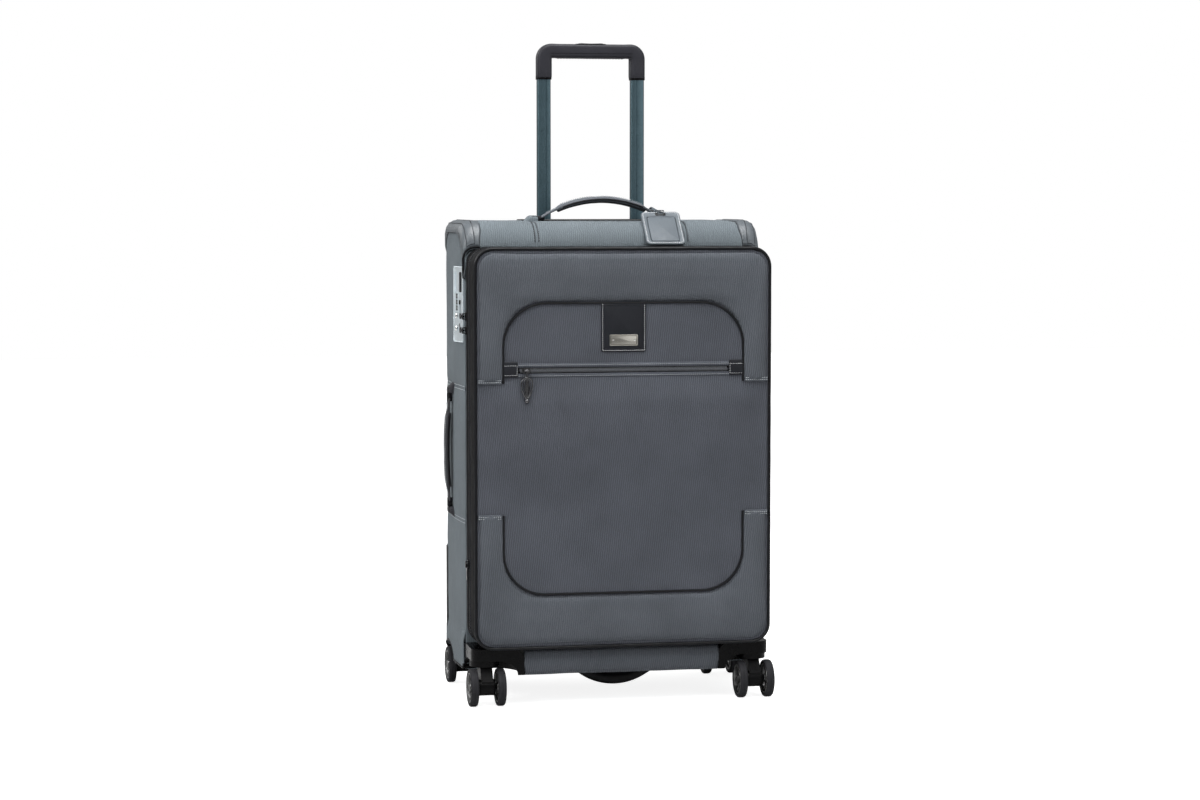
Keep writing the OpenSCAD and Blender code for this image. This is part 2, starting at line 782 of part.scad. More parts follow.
// Pull whose cross bar turns under the crown bar.
module expansion_puller() {
  color("silver") side_zip_place(split_y, expansion_stop_z) {
    translate([cross_x, 4.5, 1.4]) rotate([90, 0, 0]) cylinder(r = 0.8, h = 9, $fn = 24);
    translate([cross_x - 0.7, 0, 0]) rotate([90, 0, 90]) linear_extrude(1.4) {
      for (s = [-1, 1]) translate([s * 3.5 - 1, -7]) square([2, 8.4]);
      translate([-4.5, -8.4]) square([9, 2.8]);
      translate([-2.2, -20]) square([4.4, 13]);
      translate([0, -20]) circle(3.5);
    }
  }
}

module pocket_slider_place() {
  translate([-141, lid_front_y - 0.9, pocket_zip_z]) rotate([0, 90, 0]) rotate([0, 0, -90]) children();
}

module pocket_slider() { color("silver") pocket_slider_place() slider_body(); }

// Teardrop pull hanging from the pocket slider.
module pocket_puller() {
  color("silver") translate([-141, lid_front_y - 0.9 - crown_x, pocket_zip_z]) {
    rotate([0, 90, 0]) difference() {
      union() {
        cylinder(r = 2.4, h = 2.6, center = true, $fn = 32);
        translate([1.2, -0.7, -1.3]) cube([5.2, 1.4, 2.6]);
      }
      cylinder(r = crown_r + bore_gap, h = 6, center = true, $fn = 32);
    }
    translate([0, 0.8, 0]) rotate([90, 0, 0]) linear_extrude(1.6) {
      translate([-1.3, -11]) square([2.6, 6]);
      translate([0, -43]) circle(3.4);
      difference() {
        union() {
          translate([0, -19]) circle(9);
          polygon([[-8.6, -21.5], [8.6, -21.5], [1.4, -41], [-1.4, -41]]);
        }
        translate([0, -19]) circle(6.5);
        polygon([[-5.6, -22], [5.6, -22], [0, -36]]);
      }
    }
  }
}

// ---------- placed casters ----------

module fork_fl() { caster_place(-1, -1) fork(); }

module fork_fr() { caster_place(1, -1) fork(); }

module fork_rl() { caster_place(-1, 1) fork(); }

module fork_rr() { caster_place(1, 1) fork(); }

module wheel_fl_out() { caster_place(-1, -1) wheel(-1); }

module wheel_fl_in() { caster_place(-1, -1) wheel(1); }

module wheel_fr_out() { caster_place(1, -1) wheel(1); }

module wheel_fr_in() { caster_place(1, -1) wheel(-1); }

module wheel_rl_out() { caster_place(-1, 1) wheel(-1); }

module wheel_rl_in() { caster_place(-1, 1) wheel(1); }

module wheel_rr_out() { caster_place(1, 1) wheel(1); }

module wheel_rr_in() { caster_place(1, 1) wheel(-1); }

module dial_1() { dial(dial_z[0]); }

module dial_2() { dial(dial_z[1]); }

module dial_3() { dial(dial_z[2]); }

module latch_pin_l() { latch_pin(-1); }

module latch_pin_r() { latch_pin(1); }

shell_fabric();
lining();
stiffener_boards();
corner_guards();
kick_plate();
caster_housings();
housing_fasteners();
bottom_handle();
outer_tubes();
tube_cup();
lock_plate();
main_zip_tape();
packing_straps();
handle_mounts();
dial_1();
dial_2();
dial_3();
lock_slider();
key_cylinder();
carry_handle();
side_handle();
luggage_tag();
tag_strap();
inner_tubes();
grip();
release_button();
push_rods();
latch_pin_l();
latch_pin_r();
rim_band();
expansion_gusset();
front_panel();
lid_side_wall();
lid_piping();
lid_lining();
pocket_zip_tape();
pocket_tabs();
badge_patch();
badge_plate();
pocket_slider();
pocket_puller();
upper_slider();
upper_puller();
lower_slider();
lower_puller();
expansion_slider();
expansion_puller();
fork_fl();
fork_fr();
fork_rl();
fork_rr();
wheel_fl_out();
wheel_fl_in();
wheel_fr_out();
wheel_fr_in();
wheel_rl_out();
wheel_rl_in();
wheel_rr_out();
wheel_rr_in();
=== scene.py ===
import bpy, bmesh, math
from mathutils import Matrix, Vector, noise


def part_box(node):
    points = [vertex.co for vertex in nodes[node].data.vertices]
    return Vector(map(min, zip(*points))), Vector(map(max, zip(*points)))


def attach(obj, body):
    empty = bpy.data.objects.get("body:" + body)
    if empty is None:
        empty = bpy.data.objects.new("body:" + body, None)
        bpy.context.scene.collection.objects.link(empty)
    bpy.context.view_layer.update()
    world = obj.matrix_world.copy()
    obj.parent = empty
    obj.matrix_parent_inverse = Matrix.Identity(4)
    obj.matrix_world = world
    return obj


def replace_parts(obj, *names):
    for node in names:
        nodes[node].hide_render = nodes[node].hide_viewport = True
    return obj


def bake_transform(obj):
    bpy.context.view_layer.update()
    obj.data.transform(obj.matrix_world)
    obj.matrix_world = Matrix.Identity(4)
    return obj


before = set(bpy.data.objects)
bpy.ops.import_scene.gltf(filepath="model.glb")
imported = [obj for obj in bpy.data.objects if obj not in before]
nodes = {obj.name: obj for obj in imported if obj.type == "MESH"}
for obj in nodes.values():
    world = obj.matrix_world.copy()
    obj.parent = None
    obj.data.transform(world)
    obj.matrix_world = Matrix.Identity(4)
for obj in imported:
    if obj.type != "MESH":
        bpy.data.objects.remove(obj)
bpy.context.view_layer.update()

MM = 0.001
SIDES = ((-1, "l"), (1, "r"))
FORWARD = (0, -1, 0)
scene = bpy.context.scene
pi = math.pi


def lerp(a, b, t):
    return a + (b - a) * t


def smooth01(t):
    t = min(1.0, max(0.0, t))
    return t * t * (3 - 2 * t)


def wobble(p, scale, amp, seed=0.0):
    """Smooth repeatable noise at a point in millimetres."""
    return amp * noise.noise(Vector((p[0] / scale + seed, p[1] / scale, p[2] / scale - seed)))


# ---------------------------------------------------------------- materials

class Mat:
    """Small helper round a node material on a Principled shader."""

    def __init__(self, name, color, rough=0.6, metal=0.0, spec=0.5, sheen=0.0, coat=0.0):
        self.m = bpy.data.materials.new(name)
        self.m.use_nodes = True
        self.t = self.m.node_tree
        self.b = self.t.nodes["Principled BSDF"]
        self.set("Base Color", (*color, 1))
        self.set("Roughness", rough)
        self.set("Metallic", metal)
        self.set("Specular IOR Level", spec)
        self.set("Sheen Weight", sheen)
        self.set("Sheen Roughness", 0.6)
        self.set("Coat Weight", coat)
        self.set("Coat Roughness", 0.12)
        self.color = color
        self.rough = rough
        self.coords = self.node("ShaderNodeTexCoord").outputs["Object"]
        self.height = None
        self.m.diffuse_color = (*color, 1)

    def set(self, key, value):
        self.b.inputs[key].default_value = value

    def node(self, kind, **props):
        n = self.t.nodes.new(kind)
        for k, v in props.items():
            setattr(n, k, v)
        return n

    def link(self, a, b):
        self.t.links.new(a, b)

    def math(self, op, a, b=None, c=None):
        n = self.node("ShaderNodeMath", operation=op)
        for i, v in enumerate((a, b, c)):
            if v is None:
                continue
            if isinstance(v, (int, float)):
                n.inputs[i].default_value = v
            else:
                self.link(v, n.inputs[i])
        return n.outputs[0]

    def noise(self, per_m, detail=3.0, rough=0.55, stretch=(1, 1, 1), coords=None):
        m = self.node("ShaderNodeMapping")
        m.inputs["Scale"].default_value = stretch
        self.link(coords or self.coords, m.inputs[0])
        n = self.node("ShaderNodeTexNoise")
        n.inputs["Scale"].default_value = per_m
        n.inputs["Detail"].default_value = detail
        n.inputs["Roughness"].default_value = rough
        self.link(m.outputs[0], n.inputs["Vector"])
        return n.outputs["Fac"]

    def cells(self, per_m):
        n = self.node("ShaderNodeTexVoronoi", feature="DISTANCE_TO_EDGE")
        n.inputs["Scale"].default_value = per_m
        self.link(self.coords, n.inputs["Vector"])
        return n.outputs["Distance"]

    def ramp(self, fac, lo, hi, a=0.0, b=1.0):
        n = self.node("ShaderNodeMapRange")
        self.link(fac, n.inputs["Value"])
        for i, v in zip((1, 2, 3, 4), (lo, hi, a, b)):
            n.inputs[i].default_value = v
        return n.outputs["Result"]

    def axes(self):
        s = self.node("ShaderNodeSeparateXYZ")
        self.link(self.coords, s.inputs[0])
        return s.outputs

    def tint(self, fac, dark, light):
        """Multiplies the colour by a value between dark and light."""
        k = self.ramp(fac, 0.3, 0.7, dark, light)
        mix = self.node("ShaderNodeMix", data_type="RGBA", blend_type="MULTIPLY")
        mix.inputs["Factor"].default_value = 1.0
        grey = self.node("ShaderNodeCombineColor")
        for i in range(3):
            self.link(k, grey.inputs[i])
        src = self.b.inputs["Base Color"]
        if src.is_linked:
            self.link(src.links[0].from_socket, mix.inputs["A"])
        else:
            mix.inputs["A"].default_value = (*self.color, 1)
        self.link(grey.outputs[0], mix.inputs["B"])
        self.link(mix.outputs["Result"], src)
        return self

    def vary(self, fac, amount):
        self.link(self.ramp(fac, 0.3, 0.7, self.rough - amount, self.rough + amount), self.b.inputs["Roughness"])
        return self

    def bump(self, height, distance, strength=1.0):
        n = self.node("ShaderNodeBump")
        n.inputs["Strength"].default_value = strength
        n.inputs["Distance"].default_value = distance
        self.link(height, n.inputs["Height"])
        if self.height:
            self.link(self.height, n.inputs["Normal"])
        self.height = n.outputs[0]
        self.link(self.height, self.b.inputs["Normal"])
        return self


def woven(name, color, pitch=1.5, rough=0.75, diag=1.0, depth=0.00022, contrast=0.16, ribs=0.0, mottle=0.10,
          sheen=0.05):
    """Twill: diagonal ribs crossed by a finer thread, in whichever plane the surface faces."""
    m = Mat(name, color, rough, sheen=sheen, spec=0.12)
    x, y, z = m.axes()
    geo = m.node("ShaderNodeNewGeometry")
    n = m.node("ShaderNodeSeparateXYZ")
    m.link(geo.outputs["True Normal"], n.inputs[0])
    facing_x = m.ramp(m.math("ABSOLUTE", n.outputs[0]), 0.6, 0.75)
    facing_z = m.ramp(m.math("ABSOLUTE", n.outputs[2]), 0.6, 0.75)
    u = m.math("ADD", m.math("MULTIPLY", x, m.math("SUBTRACT", 1.0, facing_x)), m.math("MULTIPLY", y, facing_x))
    v = m.math("ADD", m.math("MULTIPLY", z, m.math("SUBTRACT", 1.0, facing_z)), m.math("MULTIPLY", y, facing_z))
    k = 2 * pi / (pitch * MM)
    wear = m.math("MULTIPLY", m.noise(900, 2), 2.2)
    twill = m.math("SINE", m.math("ADD", m.math("MULTIPLY", m.math("ADD", m.math("MULTIPLY", u, diag), v), k), wear))
    weft = m.math("SINE", m.math("MULTIPLY", m.math("SUBTRACT", v, m.math("MULTIPLY", u, 0.35)), k * 2.3))
    warp = m.math("SINE", m.math("MULTIPLY", u, k * 1.9))
    h = m.math("ADD", m.math("MULTIPLY", twill, 0.5), m.math("MULTIPLY", m.math("MULTIPLY", weft, warp), 0.35))
    if ribs:
        lean = m.math("ADD", u, m.math("MULTIPLY", v, -0.12))
        sway = m.math("MULTIPLY", m.noise(260, 2), 3.0)
        h = m.math("ADD", h, m.math("SINE", m.math("ADD", m.math("MULTIPLY", lean, 2 * pi / (ribs * MM)), sway)))
    fac = m.ramp(h, -1.4, 1.4)
    m.tint(fac, 1 - contrast, 1 + contrast)
    m.tint(m.noise(5200, 2), 0.86, 1.14)
    m.tint(m.noise(14, 3), 1 - mottle, 1 + mottle)
    m.vary(m.noise(60, 3), 0.07)
    m.bump(m.noise(22, 3), 0.0012, 0.35)
    m.bump(fac, depth, 0.9)
    return m.m


def leather(name, color, rough=0.5, scale=420, depth=0.00018, mottle=0.12, spec=0.25):
    m = Mat(name, color, rough, spec=spec)
    c = m.cells(scale)
    m.tint(m.noise(35, 4), 1 - mottle, 1 + mottle)
    m.vary(m.noise(120, 4), 0.12)
    m.bump(m.noise(60, 3), 0.0006, 0.3)
    m.bump(m.ramp(c, 0.0, 0.25), depth, 0.8)
    m.bump(m.noise(2600, 2), 0.00006, 0.5)
    return m.m


def plastic(name, color, rough=0.4, grain=1600, depth=0.00005, coat=0.0, mottle=0.08, spec=0.18):
    m = Mat(name, color, rough, spec=spec, coat=coat)
    m.tint(m.noise(30, 3), 1 - mottle, 1 + mottle)
    m.vary(m.noise(90, 4), min(0.08, rough * 0.35))
    m.bump(m.noise(grain, 2), depth, 0.6)
    return m.m


def metal(name, color, rough=0.25, brush=(1, 1, 1), depth=0.00002, mottle=0.06, coat=0.0):
    m = Mat(name, color, rough, metal=1.0, coat=coat)
    m.tint(m.noise(40, 3), 1 - mottle, 1 + mottle)
    m.vary(m.noise(700, 4, stretch=brush), min(0.1, rough * 0.4))
    m.bump(m.noise(1500, 2, stretch=brush), depth, 0.5)
    return m.m


def srgb(r, g, b):
    return tuple(((c / 255 + 0.055) / 1.055) ** 2.4 if c > 10 else c / 255 / 12.92 for c in (r, g, b))


FABRIC = woven("grey_twill", srgb(74, 77, 84), pitch=2.2, contrast=0.22, ribs=3.1, depth=0.0003)
FABRIC_UP = woven("grey_twill_border", srgb(80, 84, 90), pitch=2.6, diag=2.6, contrast=0.2, ribs=3.1, depth=0.00035)
FABRIC_SIDE = woven("grey_twill_body", srgb(100, 108, 113), pitch=2.4, diag=3.0, contrast=0.12, mottle=0.07,
                    ribs=3.0, depth=0.0003)
GUARD = leather("guard_leather", srgb(80, 86, 91), 0.36, 900, 0.00008, 0.08, spec=0.6)
# dark colour for cords that paint shade: in the guards' pressed lines, along their edges and in the top seams' furrows
GROOVE_SHADE = leather("pressed_line_shade", srgb(48, 51, 55), 0.6, 900, 0.00006)
GUSSET = woven("black_gusset", srgb(13, 13, 15), pitch=1.2, contrast=0.25, depth=0.0002, sheen=0.0, ribs=2.6)
TAPE = woven("zip_tape", srgb(14, 14, 16), pitch=0.9, contrast=0.3, depth=0.00012, sheen=0.0)
WEB = woven("webbing", srgb(26, 26, 29), pitch=1.6, contrast=0.3, depth=0.0003, ribs=3.2)
PIPING = plastic("piping_cord", srgb(17, 18, 21), 0.42, 2200, 0.00008)
STITCH = woven("thread_grey", srgb(168, 174, 178), pitch=0.5, contrast=0.2, sheen=0.3)
THREAD_DARK = woven("thread_dark", srgb(70, 73, 78), pitch=0.5, contrast=0.2)
THREAD_WHITE = woven("thread_white", srgb(214, 216, 218), pitch=0.5, contrast=0.15)
PATCH = leather("black_leather", srgb(22, 24, 30), 0.42, 700, 0.00012)
TAGL = leather("grey_leather", srgb(92, 99, 105), 0.48, 1100, 0.00005, 0.05)
BADGE = metal("badge_metal", srgb(176, 173, 165), 0.3, (1, 1, 12), 0.00001)
CHROME = metal("bright_chrome", srgb(222, 222, 220), 0.1, (1, 1, 1), 0.000004)
DARK_CHROME = metal("dark_chrome", srgb(120, 118, 114), 0.2, (1, 1, 1), 0.00001)
SATIN = metal("satin_lock", srgb(232, 240, 244), 0.5, (1, 1, 8), 0.00001)
TUBE = metal("teal_anodised", srgb(98, 121, 130), 0.34, (6, 6, 0.3), 0.00001)
GUNMETAL = metal("gunmetal", srgb(98, 98, 100), 0.2, (1, 1, 1), 0.000006)
RIM = metal("wheel_rim_grey", srgb(112, 112, 112), 0.34, (1, 1, 1), 0.00001)
STEEL = metal("plain_steel", srgb(180, 182, 186), 0.35, (1, 8, 1))
BRASS = metal("pin_brass", srgb(200, 170, 110), 0.35)
GRIP = plastic("grip_plastic", srgb(44, 44, 49), 0.42, 2000, 0.00007)
BUTTON = plastic("button_plastic", srgb(66, 66, 71), 0.5, 2600, 0.00006)
HOUSING = plastic("gloss_housing", srgb(6, 6, 7), 0.24, 400, 0.00003, spec=0.1)
FORK = plastic("fork_plastic", srgb(10, 10, 11), 0.32, 600, 0.00003, spec=0.1)
KICK = plastic("grained_guard", srgb(17, 17, 19), 0.5, 900, 0.0002)
TYRE = plastic("tyre_rubber", srgb(36, 36, 39), 0.66, 1300, 0.0001)
BLACK = plastic("satin_black", srgb(13, 13, 15), 0.4)
COIL = plastic("zip_coil", srgb(22, 22, 25), 0.35, 900, 0.00002)
COIL_GREY = plastic("zip_coil_grey", srgb(84, 86, 90), 0.4, 900, 0.00002)
LINING = woven("lining_cloth", srgb(118, 122, 130), pitch=1.1, contrast=0.08, depth=0.00008, sheen=0.1)
MESH = woven("mesh_cloth", srgb(60, 62, 68), pitch=2.6, contrast=0.45, depth=0.0004)
PAD = woven("handle_pad", srgb(92, 96, 102), pitch=1.6, contrast=0.12)
PAD_SIDE = woven("side_handle_pad", srgb(56, 56, 60), pitch=1.4, contrast=0.15)
BOARD = plastic("board_plastic", srgb(96, 97, 99), 0.6)


# ---------------------------------------------------------------- mesh building

def add(name, verts, faces, body, mat, sharp=35.0, unit=MM):
    """New piece from vertices in millimetres."""
    me = bpy.data.meshes.new(name)
    me.from_pydata([tuple(c * unit for c in v) for v in verts], [], faces)
    bm = bmesh.new()
    bm.from_mesh(me)
    bmesh.ops.remove_doubles(bm, verts=bm.verts, dist=1e-6)
    bmesh.ops.recalc_face_normals(bm, faces=bm.faces)
    bm.to_mesh(me)
    bm.free()
    me.materials.append(mat)
    me.shade_smooth()
    me.set_sharp_from_angle(angle=math.radians(sharp))
    ob = bpy.data.objects.new(name, me)
    scene.collection.objects.link(ob)
    if body:
        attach(ob, body)
    return ob


def skin(rings, ring=True, path=False, caps=True):
    """Joins rings of equal length into a surface."""
    n, m = len(rings[0]), len(rings)
    verts = [p for r in rings for p in r]
    faces = []
    for i in range(m if path else m - 1):
        for j in range(n if ring else n - 1):
            k = (j + 1) % n
            l = (i + 1) % m
            faces.append((i * n + j, i * n + k, l * n + k, l * n + j))
    if caps and ring and not path:
        faces += [tuple(range(n)), tuple((m - 1) * n + k for k in range(n))]
    return verts, faces


def sheet(name, grid, body, mat, thick, sharp=60, offset=0):
    """Cloth from a grid of points, given a thickness."""
    n = len(grid[0])
    faces = []
    for i in range(len(grid) - 1):
        for j in range(n - 1):
            a = i * n + j
            faces.append((a, a + 1, a + n + 1, a + n))
    return thicken(add(name, [p for row in grid for p in row], faces, body, mat, sharp), thick, offset)


def thicken(ob, thick, offset=-1):
    m = ob.modifiers.new("cloth_thickness", "SOLIDIFY")
    m.thickness = thick * MM
    m.offset = offset
    return ob


def join(parts):
    verts, faces = [], []
    for v, f in parts:
        o = len(verts)
        verts += v
        faces += [tuple(i + o for i in q) for q in f]
    return verts, faces


def outline(hw, z0, z1, r, step=8.0, arc=10):
    """Closed rounded rectangle in x and z as (x, z, outward x, outward z), from the lower left corner up."""
    pts = []
    cx, cz0, cz1 = hw - r, z0 + r, z1 - r

    def line(a, b, nrm):
        n = max(1, round(math.dist(a, b) / step))
        for i in range(n):
            pts.append((lerp(a[0], b[0], i / n), lerp(a[1], b[1], i / n), *nrm))

    def corner(c, a0):
        for i in range(arc):
            a = math.radians(a0 - 90 * i / arc)
            pts.append((c[0] + r * math.cos(a), c[1] + r * math.sin(a), math.cos(a), math.sin(a)))

    line((-hw, cz0), (-hw, cz1), (-1, 0))
    corner((-cx, cz1), 180)
    line((-cx, z1), (cx, z1), (0, 1))
    corner((cx, cz1), 90)
    line((hw, cz1), (hw, cz0), (1, 0))
    corner((cx, cz0), 0)
    line((cx, z0), (-cx, z0), (0, -1))
    corner((-cx, cz0), -90)
    return pts


def hoop(name, pts, profile, body, mat, amp=0.0, scale=60.0, seed=0.0, closed=True, sharp=35.0):
    """Profile of (outward offset, y) carried round an outline in x and z."""
    rings = []
    for x, z, nx, nz in pts:
        d = wobble((x, 0, z), scale, amp, seed) if amp else 0.0
        rings.append([(x + (u + d) * nx, y, z + (u + d) * nz) for u, y in profile])
    return add(name, *skin(rings, ring=closed, path=True), body, mat, sharp)


def circle(r, n=10, cu=0.0, cv=0.0, a0=0.0):
    return [(cu + r * math.cos(a0 + 2 * pi * i / n), cv + r * math.sin(a0 + 2 * pi * i / n)) for i in range(n)]


def frames(path, up):
    """Tangent, side and up at each point of a path."""
    out = []
    for i, p in enumerate(path):
        a = Vector(path[max(0, i - 1)])
        b = Vector(path[min(len(path) - 1, i + 1)])
        t = (b - a).normalized()
        u = Vector(up[i] if isinstance(up, list) else up)
        s = t.cross(u).normalized()
        out.append((Vector(p), t, s, s.cross(t).normalized()))
    return out


def sweep(path, section, up, closed=False, scale=None):
    """Carries a closed section of (side, up) along a path; scale(t) may narrow it."""
    rings = []
    fr = frames(path, up)
    for i, (p, t, s, u) in enumerate(fr):
        k = scale(i / (len(fr) - 1)) if scale else (1, 1)
        rings.append([tuple(p + s * (a * k[0]) + u * (b * k[1])) for a, b in section])
    return skin(rings, path=closed)


def cord(name, path, r, up, body, mat, n=8, closed=False):
    """Round cord along a path; closed joins its ends."""
    path = path + path[:1] if closed else path
    if callable(up):
        up = [up(p) for p in path]
    return add(name, *sweep(path, circle(r, n), up), body, mat)


def along(pts, pitch, closed=False):
    """Points every pitch along a polyline, with the direction there."""
    pts = [Vector(p) for p in pts]
    if closed:
        pts.append(pts[0])
    out = []
    left = pitch / 2
    for a, b in zip(pts, pts[1:]):
        d = (b - a).length
        if d < 1e-6:
            continue
        t = (b - a) / d
        while left <= d:
            out.append((a + t * left, t))
            left += pitch
        left -= d
    return out


def stitches(name, pts, normal, body, mat=STITCH, pitch=4.2, length=3.0, r=0.42, closed=False, lift=0.1):
    """A row of sewn stitches; normal is the surface's outward direction, or a function of the point."""
    parts = []
    for p, t in along(pts, pitch, closed):
        n = Vector(normal(p) if callable(normal) else normal).normalized()
        s = t.cross(n).normalized()
        rings = []
        for k, w in ((-0.5, 0.35), (-0.3, 1.0), (0.3, 1.0), (0.5, 0.35)):
            c = p + t * (k * length) + n * (lift + (0.0 if abs(k) < 0.4 else -0.25))
            rings.append([tuple(c + s * (r * 1.25 * w * math.cos(a)) + n * (r * w * math.sin(a)))
                          for a in (0, pi / 3, 2 * pi / 3, pi, 4 * pi / 3, 5 * pi / 3)])
        parts.append(skin(rings))
    return add(name, *join(parts), body, mat, 60)


def plate(pts2, y0, y1, bevel=0.6, place=None):
    """Flat plate from a closed 2-D outline (x, z), with eased edges on the side of y1; place maps a point."""
    cx = sum(p[0] for p in pts2) / len(pts2)
    cz = sum(p[1] for p in pts2) / len(pts2)
    w = max(1e-3, max(abs(p[0] - cx) for p in pts2))
    h = max(1e-3, max(abs(p[1] - cz) for p in pts2))
    d = 1 if y1 > y0 else -1

    def ring(inset, y):
        return [(cx + (x - cx) * (1 - inset / w), y, cz + (z - cz) * (1 - inset / h)) for x, z in pts2]

    rings = [ring(bevel, y0), ring(0, y0 + d * bevel * 0.5), ring(0, y1 - d * bevel),
             ring(bevel * 0.35, y1 - d * bevel * 0.35), ring(bevel, y1)]
    verts, faces = skin(rings)
    if place:
        verts = [tuple(place(v)) for v in verts]
    return verts, faces


def rrect(w, h, r, cx=0.0, cz=0.0, n=6):
    pts = []
    for sx, sz, a0 in ((1, 1, 0), (-1, 1, 90), (-1, -1, 180), (1, -1, 270)):
        for i in range(n + 1):
            a = math.radians(a0 + 90 * i / n)
            pts.append((cx + sx * (w / 2 - r) + r * math.cos(a), cz + sz * (h / 2 - r) + r * math.sin(a)))
    return pts


def revolve(profile, n=48, axis="x", centre=(0, 0, 0), arc=2 * pi):
    """Profile of (along the axis, radius) turned about an axis."""
    rings = []
    for i in range(n):
        a = arc * i / n
        c, s = math.cos(a), math.sin(a)
        if axis == "x":
            rings.append([(centre[0] + t, centre[1] + r * c, centre[2] + r * s) for t, r in profile])
        elif axis == "y":
            rings.append([(centre[0] + r * c, centre[1] + t, centre[2] + r * s) for t, r in profile])
        else:
            rings.append([(centre[0] + r * c, centre[1] + r * s, centre[2] + t) for t, r in profile])
    return skin(rings, ring=True, path=True)


def turned(name, profile, n, axis, centre, body, mat, sharp=35.0):
    return add(name, *revolve(profile, n, axis, centre), body, mat, sharp)


def keep(node, mat, bevel=0.0):
    """Carries a hard CAD node over with a procedural finish and eased edges."""
    ob = nodes[node]
    ob.data.materials.clear()
    ob.data.materials.append(mat)
    if bevel:
        b = ob.modifiers.new("edges", "BEVEL")
        b.width = bevel * MM
        b.segments = 2
        b.limit_method = "ANGLE"
        b.angle_limit = math.radians(40)
        b.harden_normals = False
    return ob


def soften(ob, voxel=5.0, pressure=4.0, cap=5.0, frames_n=16, levels=1):
    """Pads a closed mesh with a short cloth simulation, with a limit on how far it may swell."""
    r = ob.modifiers.new("remesh", "REMESH")
    r.mode = "VOXEL"
    r.voxel_size = voxel * MM
    apply_all(ob)
    start = [v.co.copy() for v in ob.data.vertices]
    c = ob.modifiers.new("cloth", "CLOTH")
    s = c.settings
    s.quality = 4
    s.mass = 0.3
    s.use_pressure = True
    s.uniform_pressure_force = pressure
    s.tension_stiffness = 18
    s.compression_stiffness = 18
    s.bending_stiffness = 2.0
    s.effector_weights.gravity = 0
    c.collision_settings.use_collision = False
    for f in range(1, frames_n + 1):
        scene.frame_set(f)
    apply_all(ob)
    scene.frame_set(1)
    for v, p in zip(ob.data.vertices, start):
        d = v.co - p
        if d.length > cap * MM:
            v.co = p + d.normalized() * cap * MM
    if levels:
        m = ob.modifiers.new("smooth", "SUBSURF")
        m.levels = m.render_levels = levels
        apply_all(ob)
    ob.data.shade_smooth()
    return ob


def apply_all(ob):
    dep = bpy.context.evaluated_depsgraph_get()
    me = bpy.data.meshes.new_from_object(ob.evaluated_get(dep))
    ob.modifiers.clear()
    old = ob.data
    ob.data = me
    me.name = ob.name
    bpy.data.meshes.remove(old)


# ---------------------------------------------------------------- sizes read from the frame, in millimetres

def box(node):
    a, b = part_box(node)
    return [c / MM for c in a], [c / MM for c in b]


def middle(node):
    """Centre of a node's box."""
    return Vector([(u + v) / 2 for u, v in zip(*box(node))])


(_, SHELL_TOE, BOTTOM), (SHELL_X, BACK, TOP) = box("shell_fabric")
RIM_Y = box("main_zip_tape")[1][1]
HALF = 215.0
(_, FRONT, LID_Z0), (LID_HW, _, LID_Z1) = box("lid_piping")
LID_HW -= 1.65
LID_Z0 += 1.65
LID_Z1 -= 1.65
PIPE_Y = FRONT + 2.25
CORNER = 26.0
ZIP_Y = box("main_zip_tape")[0][1] - 0.2
SPLIT_Y = box("lid_side_wall")[1][1] + 0.3
ZIP_Z = middle("pocket_zip_tape").z
PANEL_Y = box("pocket_zip_tape")[1][1]
TUBE_Y = (box("inner_tubes")[0][1] + box("inner_tubes")[1][1]) / 2
TUBE_X = box("inner_tubes")[1][0] - 10
GRIP_LOW, GRIP_TOP = box("grip")[0][2], box("grip")[1][2]
MID_Y = (RIM_Y + BACK) / 2
FRONT_R, REAR_R, EDGE_R, SIDE_R = 38.0, 28.0, 14.0, 15.0


def half_w(y):
    return HALF + (SHELL_X - HALF) * (1 - ((y - MID_Y) / (MID_Y - RIM_Y)) ** 2)


def top_z(y):
    a = max(0.0, RIM_Y + FRONT_R - y)
    b = max(0.0, y - (BACK - REAR_R))
    if a:
        return TOP - FRONT_R + math.sqrt(max(0, FRONT_R ** 2 - a ** 2))
    return TOP - REAR_R + math.sqrt(max(0, REAR_R ** 2 - b ** 2))


def low_z(y):
    b = max(0.0, y - (BACK - REAR_R))
    return BOTTOM + REAR_R - math.sqrt(max(0, REAR_R ** 2 - b ** 2))


def side_x(y):
    b = max(0.0, y - (BACK - SIDE_R))
    return half_w(min(y, BACK - SIDE_R)) - SIDE_R + math.sqrt(max(0, SIDE_R ** 2 - b ** 2))


# ---------------------------------------------------------------- lid front

